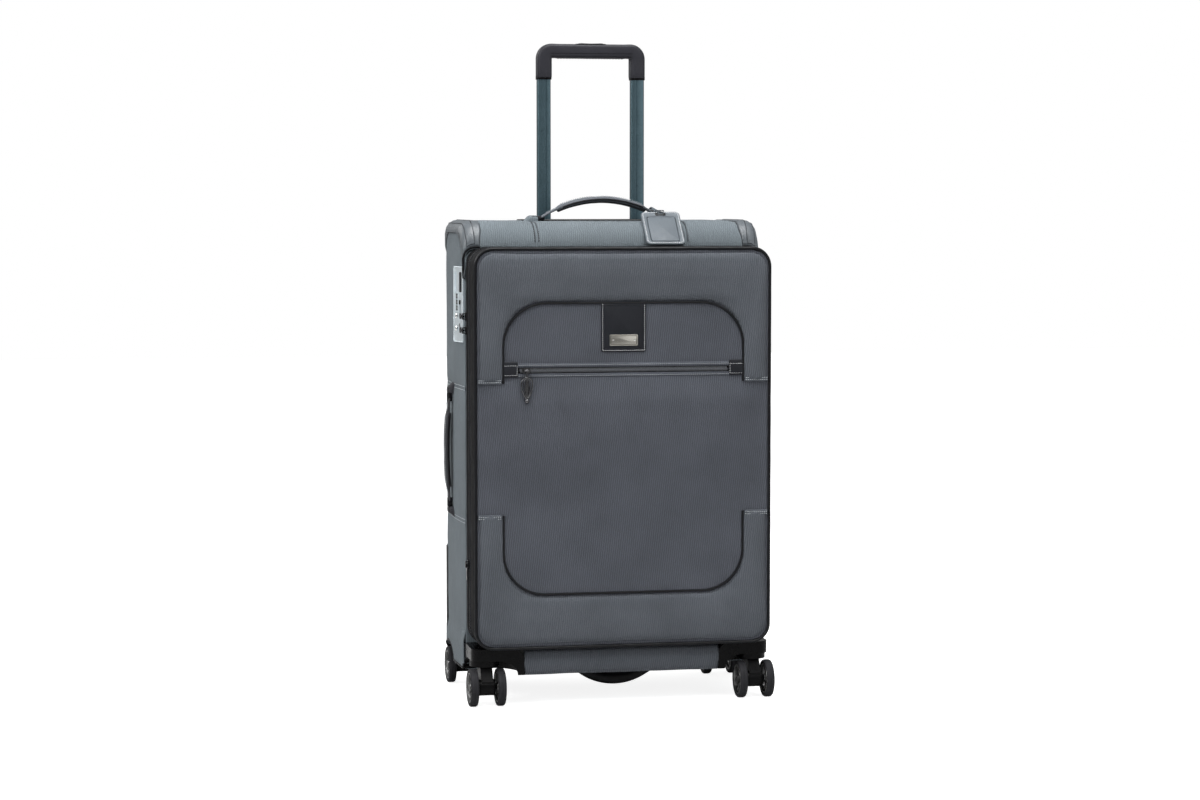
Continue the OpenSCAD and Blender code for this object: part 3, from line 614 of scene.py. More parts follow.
def border(name, z_end, z_in, r_in, up, body="lid_front"):
    """Padded border: a slab between the lid's outline and the window, its legs ending at z_end."""
    s = 1 if up else -1
    z_out = LID_Z1 - 2.6 if up else LID_Z0 + 2.6
    xo, xi = LID_HW - 2.6, 174.0
    ro = CORNER - 2.6
    n_leg, n_arc, n_top = 24, 20, 36

    def edge(x, z_far, r, p):
        pts = []
        zc = z_far - s * r
        for i in range(n_leg):
            pts.append((-x, lerp(z_end, zc, i / n_leg)))
        for i in range(n_arc):
            a = pi / 2 * i / n_arc
            pts.append((-(x - r) - r * math.cos(a) ** p, zc + s * r * math.sin(a) ** p))
        for i in range(n_top + 1):
            pts.append((lerp(-(x - r), x - r, i / n_top), z_far))
        return pts + [(-a, b) for a, b in pts[n_leg + n_arc - 1::-1]]

    outer = edge(xo, z_out, ro, 1.0)
    inner = edge(xi, z_in, r_in, 1.0)
    rings = []
    for (xa, za), (xb, zb) in zip(outer, inner):
        wide = math.dist((xa, za), (xb, zb))
        ring_ = []
        prof = [(0.0, 0.6), (0.012, 1.3), (0.05, 2.4), (0.14, 4.0), (0.32, 5.2), (0.5, 5.4), (0.68, 4.7), (0.86, 3.5),
                (1 - 5 / wide, 2.7), (1 - 2.2 / wide, 2.3), (1 - 0.6 / wide, 1.6), (1.0, 0.2)]
        for t, h in prof:
            x, z = lerp(xa, xb, t), lerp(za, zb, t)
            d = h + wobble((x, 0, z), 55, 0.5, 3) * min(1, h / 3)
            ring_.append((x, PANEL_Y - d + 0.4, z))
        rings.append(ring_ + [(xb, PANEL_Y + 0.6, zb), (xa, PANEL_Y + 0.6, za)])
    ob = add(name, *skin(rings), body, FABRIC_UP, 50)
    return ob, inner


def centre_panel():
    """Slightly crowned fabric sheet filling the whole outline behind the borders, kept flat along the pocket zip."""
    nx, nz = 120, 160
    hw, z0, z1, r = LID_HW - 2.2, LID_Z0 + 2.2, LID_Z1 - 2.2, CORNER - 2.2
    grid = []
    for i in range(nz + 1):
        z = lerp(z0, z1, i / nz)
        row = []
        e = max(0, z0 + r - z, z - (z1 - r))
        w = hw - r + math.sqrt(max(0.0, r * r - e * e))
        for j in range(nx + 1):
            x = lerp(-w, w, j / nx)
            crown = 1.2 * (1 - (x / hw) ** 4) * (1 - ((z - (z0 + z1) / 2) / ((z1 - z0) / 2)) ** 6)
            puff = smooth01((ZIP_Z - 4 - z) / 46) * smooth01((z - 284) / 110)
            crown += 4.2 * puff * smooth01((hw - abs(x)) / 50)
            crown += wobble((x, 0, z), 90, 0.9) + wobble((x, 0, z), 34, 0.3, 5)
            near = math.exp(-((z - ZIP_Z) / 9.0) ** 2) * (1 if abs(x) < 172 else 0)
            pull = math.sin(x / 6.5 + 3 * noise.noise(Vector((x / 40, 0, 0))))
            pull *= 0.25 * math.exp(-((z - ZIP_Z) / 20.0) ** 2)
            row.append((x, PANEL_Y - 0.2 - max(0.0, crown) * (1 - near) - pull * (1 - near), z))
        grid.append(row)
    return sheet("centre_panel", grid, "lid_front", FABRIC, 1.6, offset=-1)


panel = centre_panel()
LEG_END = {"upper": 461.0, "lower": 274.0}
upper, arch_pts = border("upper_border", LEG_END["upper"], 574.0, 62.0, True)
lower, bowl_pts = border("lower_border", LEG_END["lower"], 160.5, 60.0, False)
for ob in (upper, lower):
    soften(ob, voxel=3.6, pressure=2.5, cap=1.8, frames_n=12, levels=0)
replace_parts(panel, "front_panel")

# cord sewn into the inner edge of both borders, and the top-stitching beside it
for name, pts, s in (("upper", arch_pts, 1), ("lower", bowl_pts, -1)):
    path = [(x, PANEL_Y - 1.9, z) for x, z in pts]
    cord(name + "_border_cord", path, 1.7, FORWARD, "lid_front", PIPING)
    off = []
    for i, (x, z) in enumerate(pts):
        a, b = pts[max(0, i - 1)], pts[min(len(pts) - 1, i + 1)]
        t = Vector((b[0] - a[0], b[1] - a[1])).normalized()
        off.append((x - s * t.y * 4.2, PANEL_Y - 2.75, z + s * t.x * 4.2))
    stitches(name + "_border_stitch", off, (0, -1, 0), "lid_front", THREAD_DARK, 3.6, 2.6, 0.32)
    # double stitch and folded edge where each leg ends
    for sx, side in SIDES:
        x0, x1 = 177.0, LID_HW - 3.5
        z = LEG_END[name]
        rings = []
        for t in range(13):
            x = lerp(sx * x0, sx * x1, t / 12)
            rings.append([(x, PANEL_Y - 0.3 - 3.1 * b + wobble((x, 0, z), 16, 0.2), z + s * a)
                          for a, b in ((-0.8, 0.0), (-1.2, 0.55), (-0.3, 1.05), (1.2, 1.12), (4.0, 1.0), (5.5, 0.7),
                                       (5.5, 0.0))])
        add(f"{name}_leg_hem_{side}", *skin(rings), "lid_front", FABRIC_UP, 50)
        for k in (1.6, 4.4):
            stitches(f"{name}_leg_stitch_{side}_{int(k)}",
                     [(sx * x0, PANEL_Y - 3.6, z + s * k), (sx * x1, PANEL_Y - 3.6, z + s * k)],
                     (0, -1, 0), "lid_front", STITCH, 3.0, 2.2, 0.36)

# piping round the front edge
rim_pts = outline(LID_HW, LID_Z0, LID_Z1, CORNER, 6, 12)
pipe = hoop("lid_piping_cord", rim_pts, [(u, PIPE_Y + v) for u, v in circle(2.25, 10)], "lid_front", PIPING, 0.25, 30)
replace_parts(pipe, "lid_piping")

# ---------------------------------------------------------------- pocket zip, tabs, patch, badge

TAB = box("pocket_tabs")[1][0]
HALF_ZIP = TAB - 21


def strip(name, z0, z1, thick=0.7, steps=60):
    """Half of the pocket zip's tape."""
    rings = []
    y = PANEL_Y - 0.3
    for i in range(steps + 1):
        x = lerp(-HALF_ZIP, HALF_ZIP, i / steps)
        d = wobble((x, 0, z0), 24, 0.25, 9)
        rings.append([(x, y + 0.5, z0), (x, y - thick * 0.6 + d, z0), (x, y - thick + d, z0 + 0.8),
                      (x, y - thick + d, z1 - 0.8), (x, y - thick * 0.6 + d, z1), (x, y + 0.5, z1)])
    return add(name, *skin(rings), "lid_front", TAPE, 40)


tape_lo = strip("pocket_tape_lower", ZIP_Z - 6, ZIP_Z - 0.5)
strip("pocket_tape_upper", ZIP_Z + 0.5, ZIP_Z + 6)
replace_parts(tape_lo, "pocket_zip_tape")
# folded fabric lips above and below the tape
for name, z, s in (("pocket_lip_upper", ZIP_Z + 4.5, 1), ("pocket_lip_lower", ZIP_Z - 4.5, -1)):
    rings = []
    for i in range(81):
        x = lerp(-HALF_ZIP - 1, HALF_ZIP + 1, i / 80)
        d = PANEL_Y + 0.5 * wobble((x, 0, z), 30, 0.35, 2)
        rings.append([(x, PANEL_Y - 0.2, z), (x, d - 1.7, z - s * 0.3), (x, d - 2.3, z + s * 0.9),
                      (x, d - 2.2, z + s * 4.2), (x, PANEL_Y - 1.2, z + s * 5.6), (x, PANEL_Y + 0.3, z + s * 6.4)])
    add(name, *skin(rings), "lid_front", FABRIC, 50)
    stitches(name + "_stitch", [(x, PANEL_Y - 2.35, z + s * 3.1) for x in (-HALF_ZIP, HALF_ZIP)],
             FORWARD, "lid_front", STITCH, 3.0, 2.0, 0.26)


def coil(name, pts, normal, body, pitch=1.7, wide=2.9, tall=1.3, phase=0, closed=False, mat=COIL):
    """One side's teeth of a coil zip: small arched loops across the line of pts."""
    parts = []
    for k, (p, t) in enumerate(along(pts, pitch, closed)):
        n = Vector(normal(p) if callable(normal) else normal).normalized()
        s = t.cross(n).normalized()
        side = 1 if phase else -1
        c = p + s * (side * wide * 0.22)
        rings = []
        for w, h in ((-0.75, 0.0), (-0.68, 0.7), (0.0, 1.0), (0.62, 0.75), (0.75, 0.1)):
            q = c + s * (side * w * wide * 0.62) + n * (h * tall)
            rings.append([tuple(q + t * a * pitch * 0.34 + n * b * 0.35)
                          for a, b in ((-1, 0), (0, 1), (1, 0), (0, -1))])
        parts.append(skin(rings))
    return add(name, *join(parts), body, mat, 50)


line = [(-HALF_ZIP + 2, PANEL_Y - 0.9, ZIP_Z), (HALF_ZIP - 2, PANEL_Y - 0.9, ZIP_Z)]
for k, half in enumerate("ab"):
    coil("pocket_coil_" + half, [(x + 0.85 * k, y, z) for x, y, z in line], FORWARD, "lid_front",
         1.7, 4.4, 1.3, k, mat=COIL_GREY)


def leather_piece(name, pts2, y, thick):
    return add(name, *plate(pts2, y + 0.4, y - thick, 0.9), "lid_front", PATCH, 45)


for sx, tag in SIDES:
    tab = leather_piece("pocket_tab_" + tag, rrect(21.6, 22, 2.5, sx * (TAB - 10.2), ZIP_Z + 1.5), PANEL_Y - 0.2, 2.9)
    row = [(sx * (TAB - u), z) for u, z in ((1, 7.0), (19.4, 7.0), (19.4, -6.6), (1, -6.6))]
    stitches("pocket_tab_stitch_" + tag, [(x, PANEL_Y - 3.1, ZIP_Z + z) for x, z in row], (0, -1, 0), "lid_front",
             THREAD_WHITE, 2.5, 1.7, 0.24)
    if sx < 0:
        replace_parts(tab, "pocket_tabs")

(px0, _, pz0), (px1, _, pz1) = box("badge_patch")
patch_x = (px0 + px1) / 2
pz1 += 1.5
patch_c = (pz0 + pz1) / 2
patch = leather_piece("logo_free_patch", rrect(px1 - px0, pz1 - pz0, 4, patch_x, patch_c), PANEL_Y - 1.1, 2.0)
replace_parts(patch, "badge_patch")
row = [(px0 + 2.2, pz1 - 2), (px0 + 2.2, pz0 + 2.2), (px1 - 2.2, pz0 + 2.2), (px1 - 2.2, pz1 - 2)]
stitches("patch_stitch", [(x, PANEL_Y - 3.15, z) for x, z in row], FORWARD, "lid_front",
         THREAD_WHITE, 3.0, 2.0, 0.28)
# pressed border line inside the stitching
ring_ = rrect(px1 - px0 - 9, pz1 - pz0 - 9, 2.4, patch_x, patch_c)
cord("patch_crease", [(x, PANEL_Y - 3.0, z) for x, z in ring_], 0.35, FORWARD, "lid_front", PATCH, 6, True)
(bx0, _, bz0), (bx1, _, bz1) = box("badge_plate")
bc = (bz0 + bz1) / 2
bx = (bx0 + bx1) / 2
badge = add("badge", *plate(rrect(bx1 - bx0, bz1 - bz0, 2.2, bx, bc), PANEL_Y - 2.9, PANEL_Y - 4.4, 0.5),
            "lid_front", BADGE, 30)
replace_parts(badge, "badge_plate")
edge = rrect(bx1 - bx0 - 3.4, bz1 - bz0 - 3.4, 1.4, bx, bc)
cord("badge_border", [(x, PANEL_Y - 4.4, z) for x, z in edge], 0.45, FORWARD, "lid_front", DARK_CHROME, 6, True)
for s, tag in SIDES:
    turned("badge_rivet_" + tag, [(-4.3, 0.0), (-4.3, 1.3), (-4.7, 1.2), (-5.0, 0.7), (-5.1, 0.0)], 16, "y",
           (bx + s * 15.5, PANEL_Y, bc), "lid_front", CHROME)

# ---------------------------------------------------------------- lid sides, main zip, expansion fold

# dark wall between the piping and the expansion fold
wall_prof = [(-2.4, PIPE_Y + 0.8), (0.0, PIPE_Y + 1.6), (0.9, PIPE_Y + 6), (1.5, PIPE_Y + 16), (1.4, PIPE_Y + 28),
             (0.6, SPLIT_Y - 13.5), (-0.6, SPLIT_Y - 12.0), (-2.6, SPLIT_Y - 12.0), (-2.6, PIPE_Y + 4)]
wall = hoop("lid_wall", rim_pts, wall_prof, "lid_front", GUSSET, 0.7, 70, 4)
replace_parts(wall, "lid_side_wall")
for k, dy in enumerate((PIPE_Y + 4.4, SPLIT_Y - 14.8)):
    stitches(f"lid_wall_stitch_{k}", [(x + nx * 1.2, dy, z + nz * 1.2) for x, z, nx, nz in rim_pts],
             lambda p: (p[0], 0, p[2] - 366) if abs(p[0]) < 190 else (math.copysign(1, p[0]), 0, 0),
             "lid_front", THREAD_DARK, 4.2, 3.0, 0.34, closed=True)
# fold over the expansion zip: one half on each body
fold_f = [(u, SPLIT_Y - v) for u, v in ((-2.4, 12.5), (-0.4, 12.5), (1.0, 11.0), (1.5, 8.0), (1.0, 4.6), (-0.6, 3.0),
                                        (-2.6, 3.0), (-2.6, 8))]
hoop("expansion_fold_front", rim_pts, fold_f, "lid_front", GUSSET, 0.5, 40, 6)
tape_f = [(-0.9, SPLIT_Y - 4.0), (-0.2, SPLIT_Y - 3.6), (-0.2, SPLIT_Y - 0.3), (-0.9, SPLIT_Y - 0.3)]
hoop("expansion_tape_front", rim_pts, tape_f, "lid_front", TAPE)
tape_r = [(-0.9, SPLIT_Y + 0.3), (-0.2, SPLIT_Y + 0.3), (-0.2, SPLIT_Y + 3.6), (-0.9, SPLIT_Y + 4.0)]
hoop("expansion_tape_rear", rim_pts, tape_r, "lid_rim", TAPE)
band_prof = [(-2.5, SPLIT_Y + 3.2), (-0.5, SPLIT_Y + 3.2), (1.2, SPLIT_Y + 4.6), (1.9, SPLIT_Y + 8),
             (1.5, SPLIT_Y + 11.5), (0.3, ZIP_Y - 8.5), (0.8, ZIP_Y - 7.0), (0.6, ZIP_Y - 5.2), (-0.6, ZIP_Y - 4.4),
             (-2.5, ZIP_Y - 4.4)]
band = hoop("rim_band_fold", rim_pts, band_prof, "lid_rim", GUSSET, 0.6, 50, 8)
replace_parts(band, "rim_band")
tape_m = [(-1.2, ZIP_Y - 5.4), (-0.4, ZIP_Y - 5.0), (-0.4, ZIP_Y - 0.4), (-1.2, ZIP_Y - 0.4)]
hoop("main_tape_lid", rim_pts, tape_m, "lid_rim", TAPE)
tape_c = [(-1.2, ZIP_Y + 0.4), (-0.4, ZIP_Y + 0.4), (-0.4, RIM_Y + 1.5), (-1.2, RIM_Y + 1.5)]
main_tape = hoop("main_tape_case", rim_pts, tape_c, "case", TAPE)
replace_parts(main_tape, "main_zip_tape")
zip_line = [(x - 0.3 * nx, 0, z - 0.3 * nz) for x, z, nx, nz in rim_pts]


def out_n(p):
    x, z = p[0], p[2]
    cx, cz = LID_HW - CORNER, (LID_Z1 - CORNER if z > 366 else LID_Z0 + CORNER)
    dx = max(0.0, abs(x) - cx) * math.copysign(1, x)
    dz = z - cz if (z > LID_Z1 - CORNER or z < LID_Z0 + CORNER) else 0.0
    if abs(dx) < 1e-6 and abs(dz) < 1e-6:
        return (0, 0, 1 if z > 366 else -1)
    if abs(x) > LID_HW - 3 and LID_Z0 + CORNER < z < LID_Z1 - CORNER:
        return (math.copysign(1, x), 0, 0)
    return (dx, 0, dz)


for key, y0, a, b in (("main", ZIP_Y, "case", "lid_rim"), ("expansion", SPLIT_Y, "lid_rim", "lid_front")):
    for end, body, phase in (("rear", a, 0), ("front", b, 1)):
        row = [(x, y0 + 0.7 - 1.4 * phase, z) for x, _, z in zip_line]
        coil(f"{key}_coil_{end}", row, out_n, body, 2.6, 3.0, 1.2, phase, closed=True)

# the cloth that joins the two halves when the expansion zip is open
rings = []
for x, z, nx, nz in rim_pts:
    prof = [(-3.1, SPLIT_Y + 14), (-3.1, SPLIT_Y + 8)]
    prof += [(-3.4 - 1.2 * abs(math.sin(pi * k / 4)), lerp(SPLIT_Y + 8, SPLIT_Y - 8, k / 16)) for k in range(17)]
    prof += [(-3.1, SPLIT_Y - 8), (-3.1, SPLIT_Y - 14)]
    prof += [(-5.4, SPLIT_Y - 14)] + [(-5.4, lerp(SPLIT_Y - 8, SPLIT_Y + 8, k / 16)) for k in range(17)]
    prof.append((-5.4, SPLIT_Y + 14))
    rings.append([(x + u * nx, y, z + u * nz) for u, y in prof])
gusset = add("expansion_cloth", *skin(rings, path=True), None, GUSSET, 60)
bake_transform(gusset)
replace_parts(gusset, "expansion_gusset")

# ---------------------------------------------------------------- body shell

SEAM_Z = (449.0, 257.0)
SEAM_X = 110.0


def skirt_low(y):
    """Lower edge: straight, but lifted over each wheel well."""
    low = BOTTOM + 1.0
    for py in (-88.0, 88.0):
        d = abs(y - py)
        if d < 49:
            low = max(low, BOTTOM + 1.0 + 22.5 * math.sqrt(1 - (d / 49) ** 2))
    return low


def shell_ring(y, n_side=90, n_arc=7, n_top=84):
    """Cross-section of the body at one depth: left side from the bottom, over the top, right side down."""
    hw, zt, zb = side_x(y), top_z(y), max(low_z(y), skirt_low(y))
    r = EDGE_R
    pts = []
    for i in range(n_side):
        pts.append((-hw, y, lerp(zb, zt - r, i / n_side), -1, 0))
    for i in range(n_arc):
        a = pi / 2 * i / n_arc
        pts.append((-(hw - r) - r * math.cos(a), y, zt - r + r * math.sin(a), -math.cos(a), math.sin(a)))
    for i in range(n_top):
        pts.append((lerp(-(hw - r), hw - r, i / n_top), y, zt, 0, 1))
    for i in range(n_arc):
        a = pi / 2 * (1 - i / n_arc)
        pts.append(((hw - r) + r * math.cos(a), y, zt - r + r * math.sin(a), math.cos(a), math.sin(a)))
    for i in range(n_side + 1):
        pts.append((hw, y, lerp(zt - r, zb, i / n_side), 1, 0))
    return pts


def shell_puff(x, y, z, nx, nz):
    """How far the padded cloth stands out of its plane: fuller between seams, drawn in at them."""
    v = (y - RIM_Y) / (BACK - RIM_Y)
    across = 1 - abs(2 * v - 1) ** 4
    d = 0.0
    if abs(nx) > 0.9:
        secs = [BOTTOM + 8, SEAM_Z[1], SEAM_Z[0], TOP - 20]
        for a, b in zip(secs, secs[1:]):
            if a <= z <= b:
                u = (z - a) / (b - a)
                d += 1.8 * across * (1 - abs(2 * u - 1) ** 5)
        for s in SEAM_Z:
            d -= 1.3 * math.exp(-((z - s) / 3.2) ** 2)
    if nz > 0.9:
        secs = [-190, -SEAM_X, SEAM_X, 190]
        for a, b in zip(secs, secs[1:]):
            if a <= x <= b:
                u = (x - a) / (b - a)
                d += (2.4 if abs(x) > SEAM_X else 1.2) * (1 - abs(2 * u - 1) ** 5) * (1 - abs(2 * v - 1) ** 6)
        for s in (-SEAM_X, SEAM_X):
            d -= 1.2 * math.exp(-((x - s) / 3.0) ** 2)
    d += wobble((x, y, z), 60, 1.1, 12) * across + wobble((x, y, z), 24, 0.35, 7) * across
    return d


depths = []
for i in range(13):
    depths.append(RIM_Y + FRONT_R * (1 - math.cos(pi / 2 * i / 12)))
n = 26
for i in range(1, n):
    depths.append(lerp(RIM_Y + FRONT_R, BACK - REAR_R, i / n))
for i in range(13):
    depths.append(BACK - REAR_R + REAR_R * math.sin(pi / 2 * i / 12))
rings = []
for y in depths:
    ring_ = []
    for x, yy, z, nx, nz in shell_ring(min(y, BACK - 0.3)):
        d = shell_puff(x, yy, z, nx, nz)
        ring_.append((x + nx * d, yy, z + nz * d))
    rings.append(ring_)
# the cloth is open over the cup that takes the grip
cup = box("tube_cup")
cup_mid, cup_half = (cup[0][1] + cup[1][1]) / 2, (cup[1][1] - cup[0][1]) / 2
verts, faces = skin(rings, ring=False, caps=False)


def over_cup(face):
    x, y, z = (sum(verts[k][i] for k in face) / len(face) for i in range(3))
    return abs(x) < cup[1][0] - 1 and abs(y - cup_mid) < cup_half and z > TOP - 12


shell = add("shell_wrap", verts, [f for f in faces if not over_cup(f)], "case", FABRIC_SIDE, 60)
thicken(shell, 3.4)

# back panel, lightly crowned over the stiffener, with the handle's channel showing through
nx_, nz_ = 70, 100
grid = []
zb, zt = BOTTOM + REAR_R - 1, TOP - REAR_R + 1
xb = side_x(BACK) + 0.5
for i in range(nz_ + 1):
    row = []
    for j in range(nx_ + 1):
        x, z = lerp(-xb, xb, j / nx_), lerp(zb, zt, i / nz_)
        e = min(1, (xb - abs(x)) / 30, (z - zb) / 30, (zt - z) / 30)
        d = 1.0 * smooth01(e) + wobble((x, 0, z), 70, 0.8, 21) * smooth01(e)
        hump = 1.4 * math.exp(-(max(0, abs(x) - 84) / 9) ** 2) * smooth01((z - 215) / 40) * smooth01((zt - z) / 30)
        row.append((x, BACK - 0.2 + d + hump, z))
    grid.append(row)
sheet("shell_back", grid, "case", FABRIC_SIDE, 3.0, offset=-1)

# base cloth, with the front toe between the caster housings
HX = box("caster_housings")
FH, RH = -34.0, 34.0


TOE_X = 142.3
toe_prof = [(RIM_Y + 2, 80.0 - 0.5)]
toe_prof += [(lerp(RIM_Y, SHELL_TOE + 9, k / 10), 80.0 - 0.5 + 0.6 * math.sin(pi * k / 10)) for k in range(11)]
toe_prof += [(SHELL_TOE + 9 - 8.5 * math.sin(a), 71 + 8.5 * math.cos(a)) for a in (0.4, 0.8, 1.2, 1.57)]
toe_prof += [(SHELL_TOE - 0.3 - 1.0 * math.sin(pi * k / 6), lerp(70, 54, k / 6)) for k in range(1, 6)]
toe_prof += [(SHELL_TOE + 9 - 8.5 * math.cos(a), BOTTOM + 9 - 8.5 * math.sin(a)) for a in (0.0, 0.4, 0.8, 1.2, 1.57)]
toe_prof += [(lerp(SHELL_TOE + 9, BACK - REAR_R, k / 24), BOTTOM + 0.3 - 0.8 * math.sin(pi * k / 24))
             for k in range(1, 25)]
grid = []
for y, z in toe_prof:
    row = []
    for j in range(61):
        x = lerp(-TOE_X, TOE_X, j / 60)
        row.append((x, y - wobble((x, y, z), 40, 0.7, 31), z + wobble((x, y, z), 50, 0.7, 33)))
    grid.append(row)
sheet("base_cloth", grid, "case", FABRIC_UP, 2.4)
for s, tag in SIDES:
    grid = []
    for k in range(9):
        y = lerp(FH, RH, k / 8)
        grid.append([(s * lerp(TOE_X - 0.6, side_x(y) - 0.6, j / 12), y, BOTTOM + 0.3 + wobble((j * 8, y, 0), 40, 0.5))
                     for j in range(13)])
    sheet("base_wing_" + tag, grid, "case", FABRIC_SIDE, 2.4)
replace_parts(shell, "shell_fabric")

# side cloth carried down over the housings, arched round the wheels, with a bound edge
HOUSE_X = HX[1][0]
HOUSE_R = 16.0


def skirt_x(y):
    b = max(0.0, y - (BACK - HOUSE_R))
    return max(side_x(y), HOUSE_X - HOUSE_R + math.sqrt(max(0.0, HOUSE_R ** 2 - b ** 2))) + 1.5


for s, tag in SIDES:
    grid, edge = [], []
    for i in range(91):
        y = lerp(RIM_Y + 0.6, BACK - 0.6, i / 90)
        x = skirt_x(y)
        zs = [lerp(skirt_low(y), 98.0, k / 12) for k in range(13)]
        grid.append([(s * (lerp(x, side_x(y) + 0.3, smooth01((z - 84) / 14)) + wobble((x, y, z), 30, 0.4, 19)), y, z)
                     for z in zs])
        edge.append((s * (x + 0.3), y, skirt_low(y) + 0.4))
    sheet("side_skirt_" + tag, grid, "case", FABRIC_SIDE, 1.8)
    cord("side_skirt_edge_" + tag, edge, 1.6, (s, 0, 0), "case", PIPING)
    # cloth in the corner below the opening
    cx, cz, r = LID_HW - CORNER, LID_Z0 + CORNER, CORNER - 2.0
    rows = []
    for i in range(17):
        t = i / 16
        a = math.radians(180 + 90 * t)
        far = (-HALF, lerp(cz, 79.0, 2 * t)) if t < 0.5 else (lerp(-HALF, -cx, 2 * t - 1), 79.0)
        near = (-cx + r * math.cos(a), cz + r * math.sin(a))
        rows.append([(-s * lerp(near[0], far[0], k / 5), RIM_Y + 0.9 + wobble((near[0], k * 8, near[1]), 20, 0.3),
                      lerp(near[1], far[1], k / 5)) for k in range(6)])
    sheet("rim_corner_" + tag, rows, "case", FABRIC_SIDE, 1.4)
# seam rows on the toe
for z in (76.5, 47.5):
    stitches(f"toe_stitch_{int(z)}", [(x, SHELL_TOE + 0.3, z) for x in (-140, 140)], (0, -1, 0.2), "case",
             THREAD_DARK, 4.0, 2.8, 0.3)

# front flange of the body behind the main zip
flange = [(u, RIM_Y + v) for u, v in ((1.1, 0.4), (1.6, 2.2), (1.2, 5.0), (-1.2, 6.0), (-3.4, 3.0), (-1.0, 0.3))]
hoop("rim_binding", outline(LID_HW, LID_Z0, LID_Z1, CORNER, 6, 12), flange, "case", GUSSET, 0.3, 40)

# face of the body round the opening: fills from the lid's outline to the body's own edge
inner_pts = outline(LID_HW - 1, LID_Z0 + 1, LID_Z1 - 1, CORNER - 1, 6, 12)
rings = []
for x, z, nx, nz in inner_pts:
    sc = (HALF + 0.6) / LID_HW
    far_x = max(-HALF - 0.4, min(HALF + 0.4, x * sc + nx * 3))
    far_z = z + (nz * 1.2 if nz > 0 else nz * 3)
    far_z = min(far_z, LID_Z1 + 1.0)
    rings.append([(x, RIM_Y + 1.6, z), (far_x, RIM_Y + 1.2, far_z), (far_x, RIM_Y + 4.2, far_z), (x, RIM_Y + 4.6, z)])
add("rim_face", *skin(rings, path=True), "case", FABRIC_SIDE, 50)


def top_lean(p):
    """Outward direction on the top, leaning forward over its front rounding."""
    return (0, min(0, p[1] - (RIM_Y + FRONT_R)) / 20, 1)


# double seams on the sides and the top
for sx, tag in SIDES:
    for z in SEAM_Z:
        for k, dz in enumerate((-2.6, 2.6)):
            pts = []
            for i in range(40):
                y = lerp(RIM_Y + 4, BACK - 6, i / 39)
                d = shell_puff(sx * side_x(y), y, z + dz, sx, 0)
                pts.append((sx * (side_x(y) + d + 0.15), y, z + dz))
            stitches(f"side_seam_{tag}_{int(z)}_{k}", pts, (sx, 0, 0), "case", STITCH, 3.8, 2.8, 0.4)
    for k, dx in enumerate((-2.4, 2.4)):
        pts = []
        for i in range(60):
            y = lerp(RIM_Y + 1.5, BACK - 8, i / 59)
            x = sx * SEAM_X + dx
            pts.append((x, y, top_z(y) + shell_puff(x, y, top_z(y), 0, 1) + 0.15))
        # the dark cord sunk in each seam's dip paints the shade of its furrow
        cord(f"top_seam_{tag}_{k}", [(x, y, z - 0.2) for x, y, z in pts], 0.7, top_lean, "case", GROOVE_SHADE, 6)
        stitches(f"top_seam_{tag}_{k}_thread", [(x + 1.3 * (-1, 1)[k], y, z + 0.2) for x, y, z in pts],
                 top_lean, "case", THREAD_DARK, 3.8, 2.8, 0.34)

# binding along the back edges
back_pts = outline(side_x(BACK) + 5.5, BOTTOM + 22, TOP - 8.6, 26, 8, 10)
rings = []
for x, z, nx, nz in back_pts:
    y = BACK - 4.2
    rings.append([(x + nx * u, y + v, z + nz * u) for u, v in circle(2.6, 8)])
add("back_edge_cord", *skin(rings, path=True), "case", PIPING)

# ---------------------------------------------------------------- corner guards

